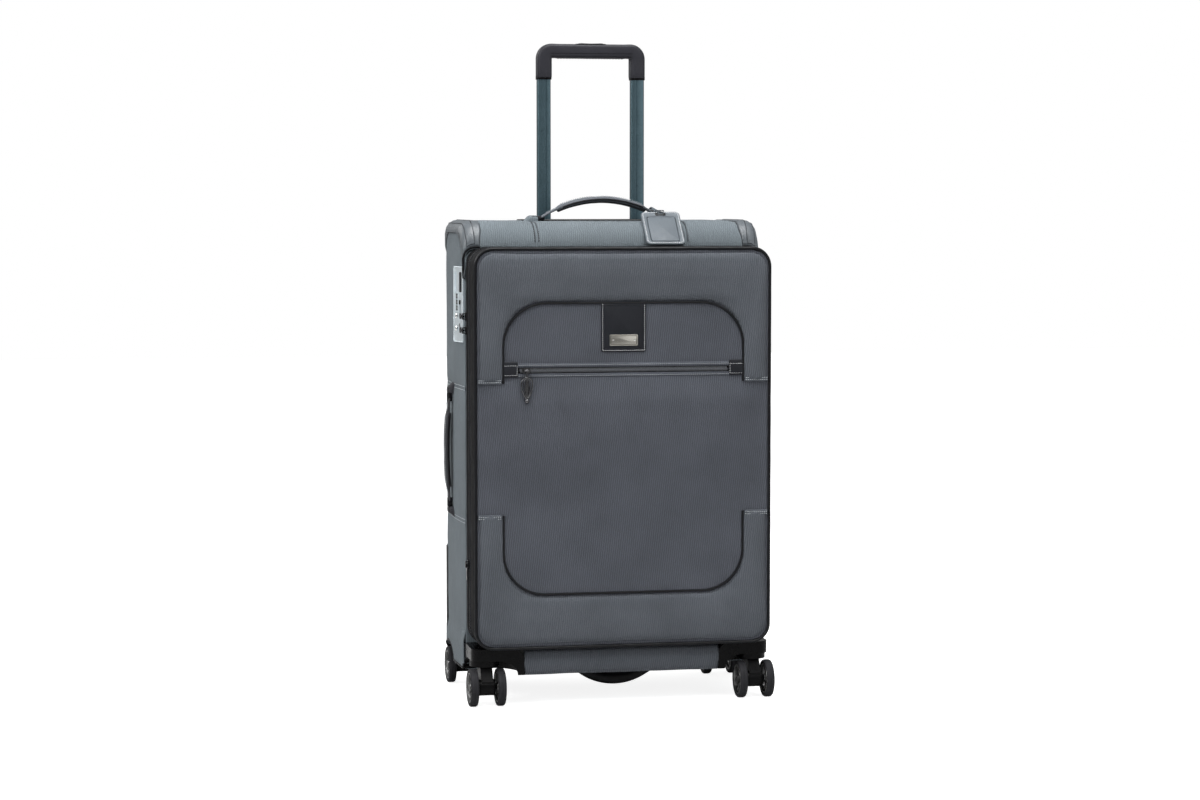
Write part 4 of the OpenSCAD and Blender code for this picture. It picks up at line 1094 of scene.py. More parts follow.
def guard(s, tag):
    """Leather-like cap along one top edge, front to back, with a pressed line inside its seam; dark cords paint the
    shade of that line, along the cap's edge and under its end lips.
    """
    rings = []
    r = EDGE_R
    for y in depths:
        y = min(y, BACK - 0.3)
        hw, zt = side_x(y), top_z(y)
        v = (y - RIM_Y) / (BACK - RIM_Y)
        low = 13 + 29 * (abs(2 * v - 1) ** 3.2)
        x_in = 191.0 + 3.0 * smooth01((RIM_Y + 12 - y) / 12)
        path = [(lerp(x_in, hw - r, t), zt, 0, 1) for t in (0.0, 0.04, 0.16, 0.3, 0.6, 1.0)]
        path += [((hw - r) + r * math.sin(a), zt - r + r * math.cos(a), math.sin(a), math.cos(a))
                 for a in (0.35, 0.75, 1.15, 1.5707)]
        path += [(hw, zt - r - max(1.0, low - r) * t, 1, 0) for t in (0.3, 0.6, 0.84, 0.96, 1.0)]
        last = len(path) - 1
        ring_ = []
        for k, (x, z, nx, nz) in enumerate(path):
            h = (0.2, 2.4, 3.0)[min(k, last - k, 2)] + wobble((x, y, z), 20, 0.15, 2)
            ring_.append((s * (x + nx * h), y, z + nz * h))
        rings.append(ring_)
    ob = add("corner_guard_" + tag, *skin(rings, ring=False, caps=False), "case", GUARD, 60)
    m = ob.modifiers.new("leather_thickness", "SOLIDIFY")
    m.thickness = 2.4 * MM
    m.offset = -1
    n, last = len(rings[0]), len(rings) - 1

    def loop(i0, i1, j0, j1):
        """Closed line on the cap between two lengthwise rows and two rings."""
        pts = [rings[j][i0] for j in range(j1, j0, -1)] + [rings[j0][i] for i in range(i0, i1)]
        return pts + [rings[j][i1] for j in range(j0, j1)] + [rings[j1][i] for i in range(i1, i0, -1)]

    def outward(p):
        side = smooth01((abs(p[0]) - 200) / 12)
        lean = smooth01((p[1] - BACK + 24) / 24) - smooth01((RIM_Y + 34 - p[1]) / 34)
        return (s * side, 1.2 * lean, 1.02 - side)

    # dark cords paint the shade in the pressed line and along the cap's edge; the black cords across both ends paint
    # the shade under the cap's lips
    cord("guard_press_shade_" + tag, loop(5, 7, 1, last - 1), 0.6, outward, "case", GROOVE_SHADE, 6, True)
    cord("guard_edge_shade_" + tag, loop(0, n - 1, 0, last), 0.8, outward, "case", GROOVE_SHADE, 6, True)
    for j, end in ((0, "front"), (last, "rear")):
        cord(f"guard_lip_shade_{tag}_{end}", rings[j], 1.5, outward, "case", PIPING)
    return ob


g = guard(-1, "l")
guard(1, "r")
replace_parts(g, "corner_guards")

# ---------------------------------------------------------------- telescopic handle

keep("outer_tubes", STEEL)
keep("tube_cup", BLACK, 0.8)
keep("push_rods", STEEL)
for n_ in ("latch_pin_l", "latch_pin_r"):
    keep(n_, BRASS)

TUBE_LOW = box("inner_tubes")[0][2]
BAR_LOW = GRIP_TOP - 21
for s, tag in SIDES:
    # tube section with rounded corners and a groove down the outer part of the front face
    sec = []
    w, d, r = 10.0, 6.5, 2.4
    for sx, sy, a0 in ((1, 1, 0), (-1, 1, 90), (-1, -1, 180), (1, -1, 270)):
        for i in range(5):
            a = math.radians(a0 + 90 * i / 4)
            sec.append((sx * (w - r) + r * math.cos(a), sy * (d - r) + r * math.sin(a)))
    groove = [(-3.4, -d), (-3.1, -d + 0.9), (-1.2, -d + 0.9), (-0.9, -d)]
    k = next(i for i, p in enumerate(sec) if p[1] <= -d + 0.01 and p[0] < 0)
    sec = sec[:k + 1] + [(s * gx, gy) for gx, gy in (groove if s > 0 else groove[::-1])] + sec[k + 1:]
    rings = [[(s * TUBE_X + u, TUBE_Y + v, z) for u, v in sec] for z in (TUBE_LOW, 600, 700, 800, BAR_LOW + 5)]
    t = add("handle_tube_" + tag, *skin(rings), "handle", TUBE, 30)
    if s < 0:
        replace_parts(t, "inner_tubes")
    c = [[(s * TUBE_X + u * 1.12, TUBE_Y + v * 1.18, z) for u, v in sec] for z in (GRIP_LOW - 3.0, GRIP_LOW + 2)]
    add("handle_collar_" + tag, *skin(c), "handle", BLACK, 30)

# grip: one swept section that thickens at the bar
GW = box("grip")[1][0]


def soft_rect(w, d, n=28, e=0.45):
    """Closed section between a rectangle and an ellipse."""
    pts = []
    for i in range(n):
        a = 2 * pi * i / n
        c, s_ = math.cos(a), math.sin(a)
        pts.append((w * math.copysign(abs(c) ** e, c), d * math.copysign(abs(s_) ** e, s_)))
    return pts


leg_x = GW - 11.3
path = []
for k in range(7):
    path.append((-leg_x, TUBE_Y, lerp(GRIP_LOW, GRIP_TOP - 22, k / 6)))
for k in range(1, 9):
    a = pi / 2 * k / 9
    path.append((-leg_x + 11.5 * (1 - math.cos(a)), TUBE_Y, GRIP_TOP - 22 + 11.5 * math.sin(a)))
for k in range(13):
    path.append((lerp(-leg_x + 11.5, leg_x - 11.5, k / 12), TUBE_Y, GRIP_TOP - 10.5))
path += [(-x, y, z) for x, y, z in path[14::-1]]
rings = []
fr = frames(path, (0, 1, 0))
for i, (p, t, s_, u) in enumerate(fr):
    z = p.z
    leg = z < GRIP_TOP - 22.5
    wide = 11.3 if leg else lerp(11.3, 10.4, smooth01(min(abs(p.x + leg_x), abs(p.x - leg_x)) / 20))
    deep = 11.5 - (1.0 if leg and z < GRIP_LOW + 3 else 0)
    rings.append([tuple(p + s_ * a + u * b) for a, b in soft_rect(wide, deep)])
g = add("grip_body", *skin(rings), "handle", GRIP, 50)
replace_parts(g, "grip")
# parting line and a softer insert under the bar
cord("grip_line", [(x, TUBE_Y - 11.35, GRIP_TOP - 14.2) for x in range(-62, 63, 4)], 0.35, FORWARD, "handle", BLACK, 6)
ins_prof = ((-1, 0), (-0.8, 0.8), (0, 1.1), (0.8, 0.8), (1, 0), (0, -1.2))
ins = [[(x, TUBE_Y + a * 8.5, GRIP_TOP - 20.4 - 0.9 * b) for a, b in ins_prof] for x in range(-52, 53, 4)]
add("grip_insert", *skin(ins), "handle", BUTTON, 50)
for k in range(-11, 12):
    x = k * 4.4
    cord(f"grip_rib_{k + 11}", [(x, TUBE_Y + a * 7.5, GRIP_TOP - 21.3 - 0.25 * (1 - a * a)) for a in (-1, -0.5, 0, 0.5, 1)],
         0.45, (0, 0, -1), "handle", BLACK, 6)
# release button with a shallow thumb dish
bxs, rows = 20.5, []
for i in range(13):
    x = lerp(-bxs, bxs, i / 12)
    e = max(0.0, abs(x) - 15) / 5.5
    hz = GRIP_TOP + 1.5 - 1.3 * e * e - 0.5 * math.cos(min(1, abs(x) / 15) * pi / 2)
    hw_ = 7.5 * math.sqrt(max(0.05, 1 - 0.5 * e * e))
    rows.append([(x, TUBE_Y + hw_ * a, GRIP_TOP - 4 if b < 0 else hz - 0.9 * (1 - b)) for a, b in
                 ((-1, -1), (-1, 0.1), (-0.86, 0.8), (-0.4, 1), (0, 0.9), (0.4, 1), (0.86, 0.8), (1, 0.1), (1, -1))])
b_ = add("release_button_cap", *skin(rows), "button", BUTTON, 45)
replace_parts(b_, "release_button")
frame_pts = rrect(45, 18.5, 5, 0, 0)
cord("button_rim", [(x, TUBE_Y + y, GRIP_TOP - 0.35) for x, y in frame_pts], 0.7, (0, 0, 1), "handle", BLACK, 6, True)
# rubber lip round the recess in the top
lip = rrect(2 * 106 + 3, 35.5, 4, 0, TUBE_Y + 0.3)
add("cup_lip", *sweep([(x, y, TOP + 1.6) for x, y in lip + lip[:1]],
                      [(-2.2, -1.4), (2.2, -1.4), (2.4, 0.6), (1.2, 2.0), (-1.2, 2.0), (-2.4, 0.6)], (0, 0, 1)), "case", BLACK)

# ---------------------------------------------------------------- strap handles

def arch_z(x, half, rise):
    r = (half * half + rise * rise) / (2 * rise)
    return rise - r + math.sqrt(r * r - x * x)


def strap(name, half, rise, thick, wide, place, body, mat, node):
    """Padded strap: a swelling core wrapped in cloth, tapering to flat webbing at both ends."""
    rings = []
    m_ = 56
    for i in range(m_ + 1):
        x = lerp(-half + 1, half - 1, i / m_)
        z = max(0.0, arch_z(x, half, rise))
        x2 = x + 0.5
        slope = math.atan2(arch_z(min(half, x2), half, rise) - arch_z(x, half, rise), 0.5) if abs(x2) < half else 0.0
        u = abs(x) / half
        full = 1 - smooth01((u - 0.62) / 0.14)
        w = lerp(9.0, wide / 2, full)
        t = lerp(1.8, thick / 2, full)
        ring_ = []
        for k in range(20):
            a = 2 * pi * k / 20
            c, s_ = math.cos(a), math.sin(a)
            q = t * math.copysign(abs(s_) ** 0.7, s_)
            e = w * math.copysign(abs(c) ** 0.6, c)
            q += wobble((x, e, q), 18, 0.5 * full, 5)
            ring_.append(tuple(place((x - math.sin(slope) * q, e, z + math.cos(slope) * q))))
        rings.append(ring_)
    v, f = skin(rings)
    ob = add(name, v, f, body, mat, 60)
    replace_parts(ob, node)
    return ob


CARRY = box("carry_handle")
CY = (CARRY[0][1] + CARRY[1][1]) / 2
CZ = CARRY[0][2] + 4.0


def carry_at(p):
    return Vector((p[0], CY + p[1], CZ + p[2]))


SIDE_H = box("side_handle")
SY = (SIDE_H[0][1] + SIDE_H[1][1]) / 2
SX = -223.2
SZ = (SIDE_H[0][2] + SIDE_H[1][2]) / 2


def side_at(p):
    return Vector((SX - 1.4 - p[2], SY + p[1], SZ + p[0]))


def pad(name, half, rise, thick, wide, place, body, mat, node, edge_mat, cap):
    top = strap(name, half, rise, thick, wide, place, body, mat, node)
    soften(top, voxel=3.0, pressure=3.0, cap=cap, frames_n=10, levels=0)
    top.data.materials.clear()
    top.data.materials.append(mat)
    for sgn, t in ((-1, "a"), (1, "b")):
        pts, cord = [], []
        for i in range(61):
            x = lerp(-half * 0.66, half * 0.66, i / 60)
            z = arch_z(x, half, rise)
            pts.append(place((x, sgn * (wide / 2 - 3.6), z + thick / 2 + 0.5)))
            cord.append(place((x, sgn * (wide / 2 + 0.1), z)))
        n0 = place((0, 0, 1)) - place((0, 0, 0))
        stitches(f"{name}_stitch_{t}", pts, n0, body, STITCH, 3.4, 2.4, 0.36)
        add(f"{name}_edge_{t}", *sweep(cord, circle(1.35, 8), n0), body, edge_mat)
    # underside wrap, darker
    rows = []
    for i in range(49):
        x = lerp(-half * 0.7, half * 0.7, i / 48)
        z = arch_z(x, half, rise) - thick / 2 - 0.3
        rows.append([place((x, e * (wide / 2 - 1), z - 0.5 + 1.5 * abs(e) ** 3))
                     for e in (-1, -0.7, -0.3, 0.3, 0.7, 1)]
                    + [place((x, e * (wide / 2 - 1), z + 1.6)) for e in (1, 0, -1)])
    add(name + "_under", *skin([[tuple(p) for p in r] for r in rows]), body, edge_mat, 60)
    # box stitch where the webbing is folded round the pin
    for sgn in (-1, 1):
        a = half * 0.76
        b = half * 0.88
        q = [(sgn * a, -6.5), (sgn * b, -6.5), (sgn * b, 6.5), (sgn * a, 6.5)]
        pts = [place((x, y, arch_z(x, half, rise) + 2.5)) for x, y in q + q[:1]]
        n0 = place((0, 0, 1)) - place((0, 0, 0))
        stitches(f"{name}_box_{'r' if sgn > 0 else 'l'}", pts, n0, body, STITCH, 3.0, 2.2, 0.34)
        # webbing loop round the pin
        loop = [[place((sgn * (half - 6 + t), r_ * math.cos(a_), r_ * math.sin(a_))) for a_, r_ in
                 [(2 * pi * k / 20, 3.9) for k in range(20)]] for t in (0, 1, 11, 12)]
        add(f"{name}_loop_{'r' if sgn > 0 else 'l'}", *skin([[tuple(p) for p in r] for r in loop]), body, WEB, 50)
    return top


pad("top_handle", 91.0, 28.0, 9.0, 30.0, carry_at, "top_strap", PAD, "carry_handle", WEB, 1.2)
pad("side_handle_pad", 77.0, 4.3, 6.4, 23.0, side_at, "side_strap", PAD_SIDE, "side_handle", WEB, 0.5)
keep("handle_mounts", BLACK, 1.0)
# padded covers that carry the side handle's ends down into the cloth
for s, tag in ((-1, "low"), (1, "high")):
    rows = []
    for z, h, w in ((83.4, 7.6, 10.5), (84.2, 9.2, 11.0), (88.0, 9.6, 11.4), (91.8, 8.8, 11.6), (95.0, 5.2, 11.4),
                    (97.6, 2.0, 10.6), (99.0, 0.7, 9.6)):
        rows.append([(-(side_x(SY) - 0.6 + h * (1 - 0.45 * abs(e) ** 5)), SY + e * w, SZ + s * z)
                     for e in (-1, -0.85, -0.5, 0, 0.5, 0.85, 1)]
                    + [(-(side_x(SY) - 1.6), SY + e * w, SZ + s * z) for e in (1, 0, -1)])
    add("side_handle_cover_" + tag, *skin(rows), "case", PAD_SIDE, 50)
# leather chapes stitched over the brackets
for s, tag in SIDES:
    x0, x1 = 96.0, 114.0
    rows = []
    for i in range(13):
        x = lerp(x0, x1 + 8, i / 12)
        h = 9.8 * (1 - smooth01((x - 106.5) / 12)) + 0.4
        h = h if x > 97 else 8.8
        rows.append([(s * x, CY + e * 10.5, TOP - 0.5 + max(0.3, h) * (1 - abs(e) ** 6 * 0.5)) for e in
                     (-1, -0.9, -0.6, -0.2, 0.2, 0.6, 0.9, 1)] + [(s * x, CY + e * 10.5, TOP - 1.4) for e in (1, 0, -1)])
    add("handle_chape_" + tag, *skin(rows), "case", FABRIC_SIDE, 50)
    stitches("handle_chape_stitch_" + tag, [(s * x, CY - 8.5, TOP + 7.6) for x in (99, 107)], (0, 0, 1), "case",
             STITCH, 2.8, 2, 0.34)

# grab handle under the base: thick webbing, sewn down at both ends
(_, gy0, _), (_, gy1, _) = box("bottom_handle")
GY, GHALF = (gy0 + gy1) / 2, 62.0
rings = []
for i in range(61):
    x = lerp(-GHALF + 0.6, GHALF - 0.6, i / 60)
    z_out = BOTTOM - arch_z(x, GHALF, 26)
    z_in = BOTTOM - max(0.0, arch_z(x, 46.0, 11) - 1) if abs(x) < 46 else BOTTOM
    mid, t = (z_out + z_in) / 2, max(0.6, (z_in - z_out) / 2)
    ring_ = []
    for k in range(24):
        a = 2 * pi * k / 24
        e = math.copysign(abs(math.cos(a)) ** 0.5, math.cos(a))
        q = math.copysign(abs(math.sin(a)) ** 0.6, math.sin(a))
        ring_.append((x, GY + e * 17, mid + q * t))
    rings.append(ring_)
bh = add("base_grab_handle", *skin(rings), "case", KICK, 60)
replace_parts(bh, "bottom_handle")
for s, tag in SIDES:
    v, f = plate(rrect(22, 38, 3, s * 66, 0), 0, 2.2, 0.7, lambda p: Vector((p[0], GY + p[2], BOTTOM + 0.4 - p[1])))
    add("base_handle_tab_" + tag, v, f, "case", GUSSET, 45)
    stitches("base_handle_tab_stitch_" + tag, [(x, GY + y, BOTTOM - 2.0) for x, y in rrect(17, 33, 2, s * 66, 0)],
             (0, 0, -1), "case", STITCH, 3.4, 2.4, 0.36, closed=True)

# ---------------------------------------------------------------- luggage tag

T0, T1 = box("luggage_tag")
tag_c = Vector(((T0[0] + T1[0]) / 2, (T0[1] + T1[1]) / 2, (T0[2] + T1[2]) / 2))
tilt = Matrix.Rotation(math.radians(45), 4, "X")
TAG_N = tuple(tilt @ Vector((0, 0, 1)))
TAG_BAR = 29.0


def tag_at(p):
    """p: across, up the tag, out of its face."""
    return tag_c + tilt @ Vector(p)


def tag_plate(name, w, h, r, t0, t1, cy, bevel=0.7):
    v, f = plate(rrect(w, h, r, 0, cy), t0, t1, bevel, lambda p: tag_at((p[0], p[2], p[1])))
    return add(name, v, f, "tag", TAGL, 45)


def tag_ring(name, outer_pts, inner_pts, z0, z1):
    """Flat ring between two outlines with the same number of points."""
    rings = []
    for (xa, ya), (xb, yb) in zip(outer_pts, inner_pts):
        prof = ((0, z0), (0, z1 - 0.9), (0.03, z1 - 0.3), (0.1, z1), (0.92, z1), (1, z1 - 0.5), (1, z0))
        rings.append([tuple(tag_at((lerp(xa, xb, t), lerp(ya, yb, t), z))) for t, z in prof])
    return add(name, *skin(rings, path=True), "tag", TAGL, 45)


tag_ob = tag_ring("tag_body", rrect(57.6, 65.6, 6.5), rrect(43.0, 50.0, 3.5, 0, -2.5), -1.2, 2.1)
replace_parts(tag_ob, "luggage_tag")
tag_plate("tag_panel", 41.6, 48.6, 3.0, -1.4, 2.2, -2.5, 0.8)
tag_plate("tag_backing", 57.4, 65.4, 6.4, -0.6, -2.1, 0)
# stitched all round in front; at the back the upper edge is left free for the strap
line = rrect(52.6, 60.6, 4.5)
for name, f, row in (("tag_stitch", 1, line), ("tag_stitch_back", -1, line[7:] + line[:7])):
    stitches(name, [tuple(tag_at((x, y, 2.15 * f))) for x, y in row],
             tuple(Vector(TAG_N) * f), "tag", THREAD_WHITE, 3.0, 2.2, 0.42, closed=f > 0)
# black plate paints the shade inside the slot for the strap
add("tag_slot_shade", *plate(rrect(15.5, 6.5, 1.5, 0, 27.6), 1.9, 2.5, 0.2, lambda p: tag_at((p[0], p[2], p[1]))),
    "tag", BLACK, 40)
cord("tag_bar", [tuple(tag_at((x, TAG_BAR, 0))) for x in (-9, -3, 3, 9)], 1.2, TAG_N, "tag", GUNMETAL, 10)

# loop round the handle, a tongue through a keeper down to the tag's bar, and a small buckle
hinge = tag_at((0, TAG_BAR, 0))
FLAT = [(-5, -0.9), (5, -0.9), (5.3, 0), (5, 0.9), (-5, 0.9), (-5.3, 0)]
slope = math.radians(28.4)
ring_c = Vector((tag_c.x, CY, CZ + 8.5))
lr = Matrix.Rotation(slope, 4, "Y")
rings = []
for k in range(24):
    a = 2 * pi * k / 24
    c, s_ = math.cos(a), math.sin(a)
    q = Vector((0, 10.4 * math.copysign(abs(c) ** 0.45, c), 6.2 * math.copysign(abs(s_) ** 0.45, s_)))
    d = (lr @ q).normalized()
    ax = lr @ Vector((1, 0, 0))
    rings.append([tuple(ring_c + lr @ q + ax * u + d * b) for u, b in FLAT])
st = add("tag_loop", *skin(rings, path=True), "top_strap", TAGL, 50)
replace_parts(st, "tag_strap")
tongue = []
for k in range(13):
    t = k / 12
    tongue.append((tag_c.x, lerp(CY - 10.6, hinge.y - 1.0, t),
                   lerp(CZ + 6.0, hinge.z + 2.7, t) + 2.0 * math.sin(pi * t)))
tongue += [(tag_c.x, hinge.y + v, hinge.z + w) for v, w in ((-2.6, 0.6), (-2.0, -1.6), (0.8, -2.4))]
add("tag_tongue", *sweep(tongue, FLAT, (0, 0.3, 1)), "top_strap", TAGL, 50)
ky = lerp(CY - 10.6, hinge.y, 0.86)
kz = lerp(CZ + 6.0, hinge.z + 2.7, 0.86) + 0.8
keeper = [(tag_c.x + u, ky, kz + w) for u, w in rrect(13.5, 5.4, 1.6)]
keeper_band = [(-2.6, -0.6), (2.6, -0.6), (2.8, 0), (2.6, 0.6), (-2.6, 0.6), (-2.8, 0)]
add("tag_keeper", *sweep(keeper + keeper[:1], keeper_band, (0, 0, 1)), "top_strap", TAGL, 50)
by, bz = CY - 24, lerp(CZ + 6.0, hinge.z, 0.3) + 3.6
pts = [(tag_c.x + x, by + y * 0.97, bz + 0.2 * y) for x, y in rrect(15, 13, 2)]
cord("tag_buckle", pts, 1.2, (0, 0, 1), "top_strap", GUNMETAL, closed=True)
cord("tag_buckle_pin", [(tag_c.x, by + 6.5, bz + 1.6), (tag_c.x, by, bz + 2.4), (tag_c.x, by - 7, bz - 0.6)], 0.9,
     (1, 0, 0), "top_strap", GUNMETAL)

# ---------------------------------------------------------------- casters

WH = box("wheel_fl_out")
WR = (WH[1][2] - WH[0][2]) / 2
WW = (WH[1][0] - WH[0][0]) / 2


def both_ways(half):
    """A wheel profile from its outer half, given as (inset from the face, drop from the tread)."""
    left = [(u - WW, WR - v) for u, v in half]
    return left + [(-x, r) for x, r in reversed(left)]


tyre_prof = both_ways([(1.2, 5.6), (0.3, 4.0), (0, 2.6), (0.5, 1.2), (1.8, 0.3), (3.6, 0), (WW - 0.5, 0), (WW - 0.3, 0.35)])
rim_prof = both_ways([(1.4, 5.4), (0.6, 6.0), (0.8, 7.2), (2.6, 8.0)])


def wheel_pieces(name, c, body, out):
    tyre = turned(name + "_tyre", tyre_prof, 56, "x", c, body, TYRE, 40)
    parts = [revolve(rim_prof, 56, "x", c)]
    hub = [(0.6 - WW, 3.2), (0.2 - WW, 4.6), (0.9 - WW, 6.4), (0, 7.2), (WW - 0.9, 6.4), (WW - 0.2, 4.6), (WW - 0.6, 3.2)]
    parts.append(revolve(hub, 32, "x", c))
    for k in range(6):
        a = 2 * pi * k / 6
        rings = []
        for t in (0.0, 0.15, 0.5, 0.85, 1.0):
            r = lerp(6.0, WR - 7.2, t)
            w = 1.3 + 1.5 * abs(2 * t - 1) ** 3
            d = 2.4 - 0.8 * math.sin(pi * t)
            ring_ = []
            for u, v in ((-1, -0.6), (-0.6, -1), (0.6, -1), (1, -0.6), (1, 0.6), (0.6, 1), (-0.6, 1), (-1, 0.6)):
                ww = u * w
                ring_.append((c[0] + v * d, c[1] + r * math.cos(a) - ww * math.sin(a),
                              c[2] + r * math.sin(a) + ww * math.cos(a)))
            rings.append(ring_)
        parts.append(skin(rings))
    add(name + "_rim", *join(parts), body, RIM, 40)
    cap = [(out * (WW - u), r) for u, r in ((0.5, 0.0), (0.6, 2.4), (1.4, 3.1), (2.6, 3.1), (2.6, 0.0))]
    turned(name + "_cap", cap, 24, "x", c, body, DARK_CHROME, 40)
    return tyre


PIVOT_X, PIVOT_Y, AXLE_Y, AXLE_Z = 196.0, 88.0, 107.0, 27
for e, sx, sy in (("fl", -1, -1), ("fr", 1, -1), ("rl", -1, 1), ("rr", 1, 1)):
    keep("fork_" + e, FORK, 1.0)
    for w, sw in (("out", sx), ("in", -sx)):
        n_ = f"wheel_{e}_{w}"
        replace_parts(wheel_pieces(n_, middle(n_), n_, sw), n_)
    cx, cy = sx * PIVOT_X, sy * PIVOT_Y
    ay = sy * AXLE_Y
    # side covers of the fork's boss and a ring on the swivel disc
    for s, tag in SIDES:
        boss = [(s * u, v) for u, v in ((11.2, 0.0), (12.6, 3.3), (12.7, 7.5), (12.2, 10.6), (11.0, 11.6), (9.0, 11.8), (9.0, 0.0))]
        turned(f"fork_{e}_cover_{tag}", boss, 40, "x", (cx, ay, AXLE_Z), "caster_" + e, FORK, 50)
    disc = [(56.0, 17.0), (55.2, 19.4), (55.6, 20.4), (57.0, 20.9), (61.6, 20.9), (62.8, 20.3), (63.0, 17.0)]
    turned(f"fork_{e}_ring", disc, 48, "z", (cx, cy, 0), "caster_" + e, FORK, 50)

keep("caster_housings", HOUSING, 2.2)
keep("housing_fasteners", STEEL, 0.3)
keep("kick_plate", KICK, 0.9)
KICK_LOW, KICK_Y = box("kick_plate")[0][2], box("kick_plate")[1][1]
rivet = [(KICK_Y + u, v) for u, v in ((0.9, 0.0), (0.9, 2.4), (0.5, 3.6), (-0.2, 4.2), (-3, 2.4), (-3, 0.0))]
for s, tag in SIDES:
    for z in (100, 188):
        turned(f"guard_rivet_{tag}_{z}", rivet, 24, "y", (s * 180, 0, z), "case", STEEL, 40)
# moulded ribs across the guard
for k in range(5):
    cord(f"guard_rib_{k}", [(x, KICK_Y + 0.1, KICK_LOW + 30 + 15 * k) for x in range(-160, 161, 20)], 1.1, (0, 1, 0),
         "case", KICK)
keep("stiffener_boards", BOARD)

# ---------------------------------------------------------------- lock and zip sliders

keep("lock_plate", SATIN, 0.7)
for k in (1, 2, 3):
    keep(f"dial_{k}", BLACK, 0.25)
keep("lock_slider", BLACK, 0.4)
keep("key_cylinder", STEEL, 0.2)
LT = math.radians(10)
LC = Vector((-219.5, -17.0, (box("lock_plate")[0][2] + box("lock_plate")[1][2]) / 2))
lrot = Matrix.Rotation(LT, 4, "Z")


def lock_at(p):
    """p: depth inwards, front to back, height."""
    return LC + lrot @ Vector(p)


def lock_bar(name, y0, y1, z0, z1, x0, x1, mat, bevel=0.3, r=0.6):
    v, f = plate(rrect(y1 - y0, z1 - z0, r, (y0 + y1) / 2, (z0 + z1) / 2), x1, x0, bevel,
                 lambda p: lock_at((p[1], p[0], p[2])))
    return add(name, v, f, "case", mat, 40)


# raised rim, the bezels between the number windows, the screws and the recessed pull
edge = rrect(40.5, 107.5, 4, 0, 0)
cord("lock_rim", [tuple(lock_at((-1.5, y, z))) for y, z in edge], 0.7, (-1, 0, 0), "case", SATIN, closed=True)
for k, z in enumerate((16.1, 7.25, -1.25, -10.1)):
    lock_bar(f"window_bar_{k}", 2.0, 11.6, z - 0.65, z + 0.65, -2.0, -0.4, SATIN)
for k, y in enumerate((1.9, 11.7)):
    lock_bar(f"window_side_{k}", y - 0.5, y + 0.5, -10.4, 16.5, -1.9, -0.4, SATIN, 0.2, 0.3)
for k, z in enumerate((44.0, 35.0)):
    turned(f"lock_screw_{k}", [(-0.7, 0.0), (-0.8, 0.6), (-1.4, 0.7), (-1.6, 1.5), (-0.9, 1.75), (-0.5, 1.75), (-0.5, 0.0)],
           20, "x", tuple(lock_at((0, -12, z))), "case", DARK_CHROME, 40)
lock_bar("lock_recess", -14.5, -4.0, 17.5, 46.5, -1.72, -1.4, BLACK, 0.1, 2.5)
lock_bar("lock_recess_tab", -12.5, -6.2, 19.0, 38.0, -2.3, -1.6, PATCH, 0.3, 1.5)
for k, z in enumerate((-17.0, -35.0)):
    c = tuple(lock_at((-1.4, 9.5, z)))
    turned(f"dock_ring_{k}", [(0.3, 2.4), (-0.7, 2.5), (-1.2, 3.2), (-0.7, 4.0), (0.3, 4.1)], 28, "x", c, "case", CHROME, 40)
    # black disc paints the shade inside each dock's hole
    turned(f"dock_hole_shade_{k}", [(-0.15, 0.0), (-0.15, 2.5), (0.3, 2.5), (0.3, 0.0)], 24, "x", c, "case", BLACK, 40)

# digits drawn with straight strokes, one set of ten per number wheel
LOOP = ((0, 0), (1, 0), (1, 2), (0, 2), (0, 0))
DIGITS = ((LOOP,), (((0.5, 0), (0.5, 2)),), (((0, 2), (1, 2), (1, 1), (0, 0), (1, 0)),),
          (((0, 2), (1, 2), (1, 0), (0, 0)), ((0.3, 1), (1, 1))), (((0, 2), (0, 1), (1, 1)), ((1, 2), (1, 0))),
          (((1, 2), (0, 2), (0, 1), (1, 1), (1, 0), (0, 0)),), (((1, 2), (0, 2), (0, 0), (1, 0), (1, 1), (0, 1)),),
          (((0, 2), (1, 2), (0.3, 0)),), (LOOP, ((0, 1), (1, 1))), (((0, 0), (1, 0), (1, 2), (0, 2), (0, 1), (1, 1)),))
DIAL_R = 4.52
DIALS = ("dial_1", "dial_2", "dial_3")
for k, n_ in enumerate(DIALS):
    c = middle(n_)
    parts = []
    for d in range(10):
        ang = pi + LT + 2 * pi * d / 10
        rad = Vector((math.cos(ang), math.sin(ang), 0))
        tan = Vector((-math.sin(ang), math.cos(ang), 0))
        for line in DIGITS[(d + 3 * k) % 10]:
            pts = [c + rad * DIAL_R + tan * ((0.5 - x) * 1.5) + Vector((0, 0, (z - 1) * 1.5)) for x, z in line]
            for p, q in zip(pts, pts[1:]):
                t = (q - p).normalized()
                s_ = t.cross(rad)
                parts.append(skin([[tuple(o + s_ * u + rad * w) for u, w in ((-0.17, 0), (0.17, 0), (0.17, 0.1), (-0.17, 0.1))]
                                   for o in (p - t * 0.1, q + t * 0.1)]))
    add(n_ + "_numbers", *join(parts), "dial_" + "abc"[k], THREAD_WHITE, 30)

for n_ in ("upper_slider", "lower_slider", "expansion_slider", "pocket_slider"):
    keep(n_, GUNMETAL, 0.5)
for n_ in ("upper_puller", "lower_puller", "expansion_puller"):
    keep(n_, GUNMETAL, 0.25)

# pocket pull: an eye on the slider, a long leaf of two loops round a blade, and a ball at its tip
PX, PYC = middle("pocket_slider").x, PANEL_Y - 6.7
parts = [revolve([(-1.3, 1.0), (-1.3, 2.0), (-0.7, 2.4), (0.7, 2.4), (1.3, 2.0), (1.3, 1.0)], 28, "x", (PX, PYC, ZIP_Z))]
parts.append(sweep([(PX, PYC, ZIP_Z - z) for z in (2.0, 4.0, 7.0, 11.0)], [(1.3 * a, 0.8 * b) for a, b in circle(1, 10)],
                   FORWARD))


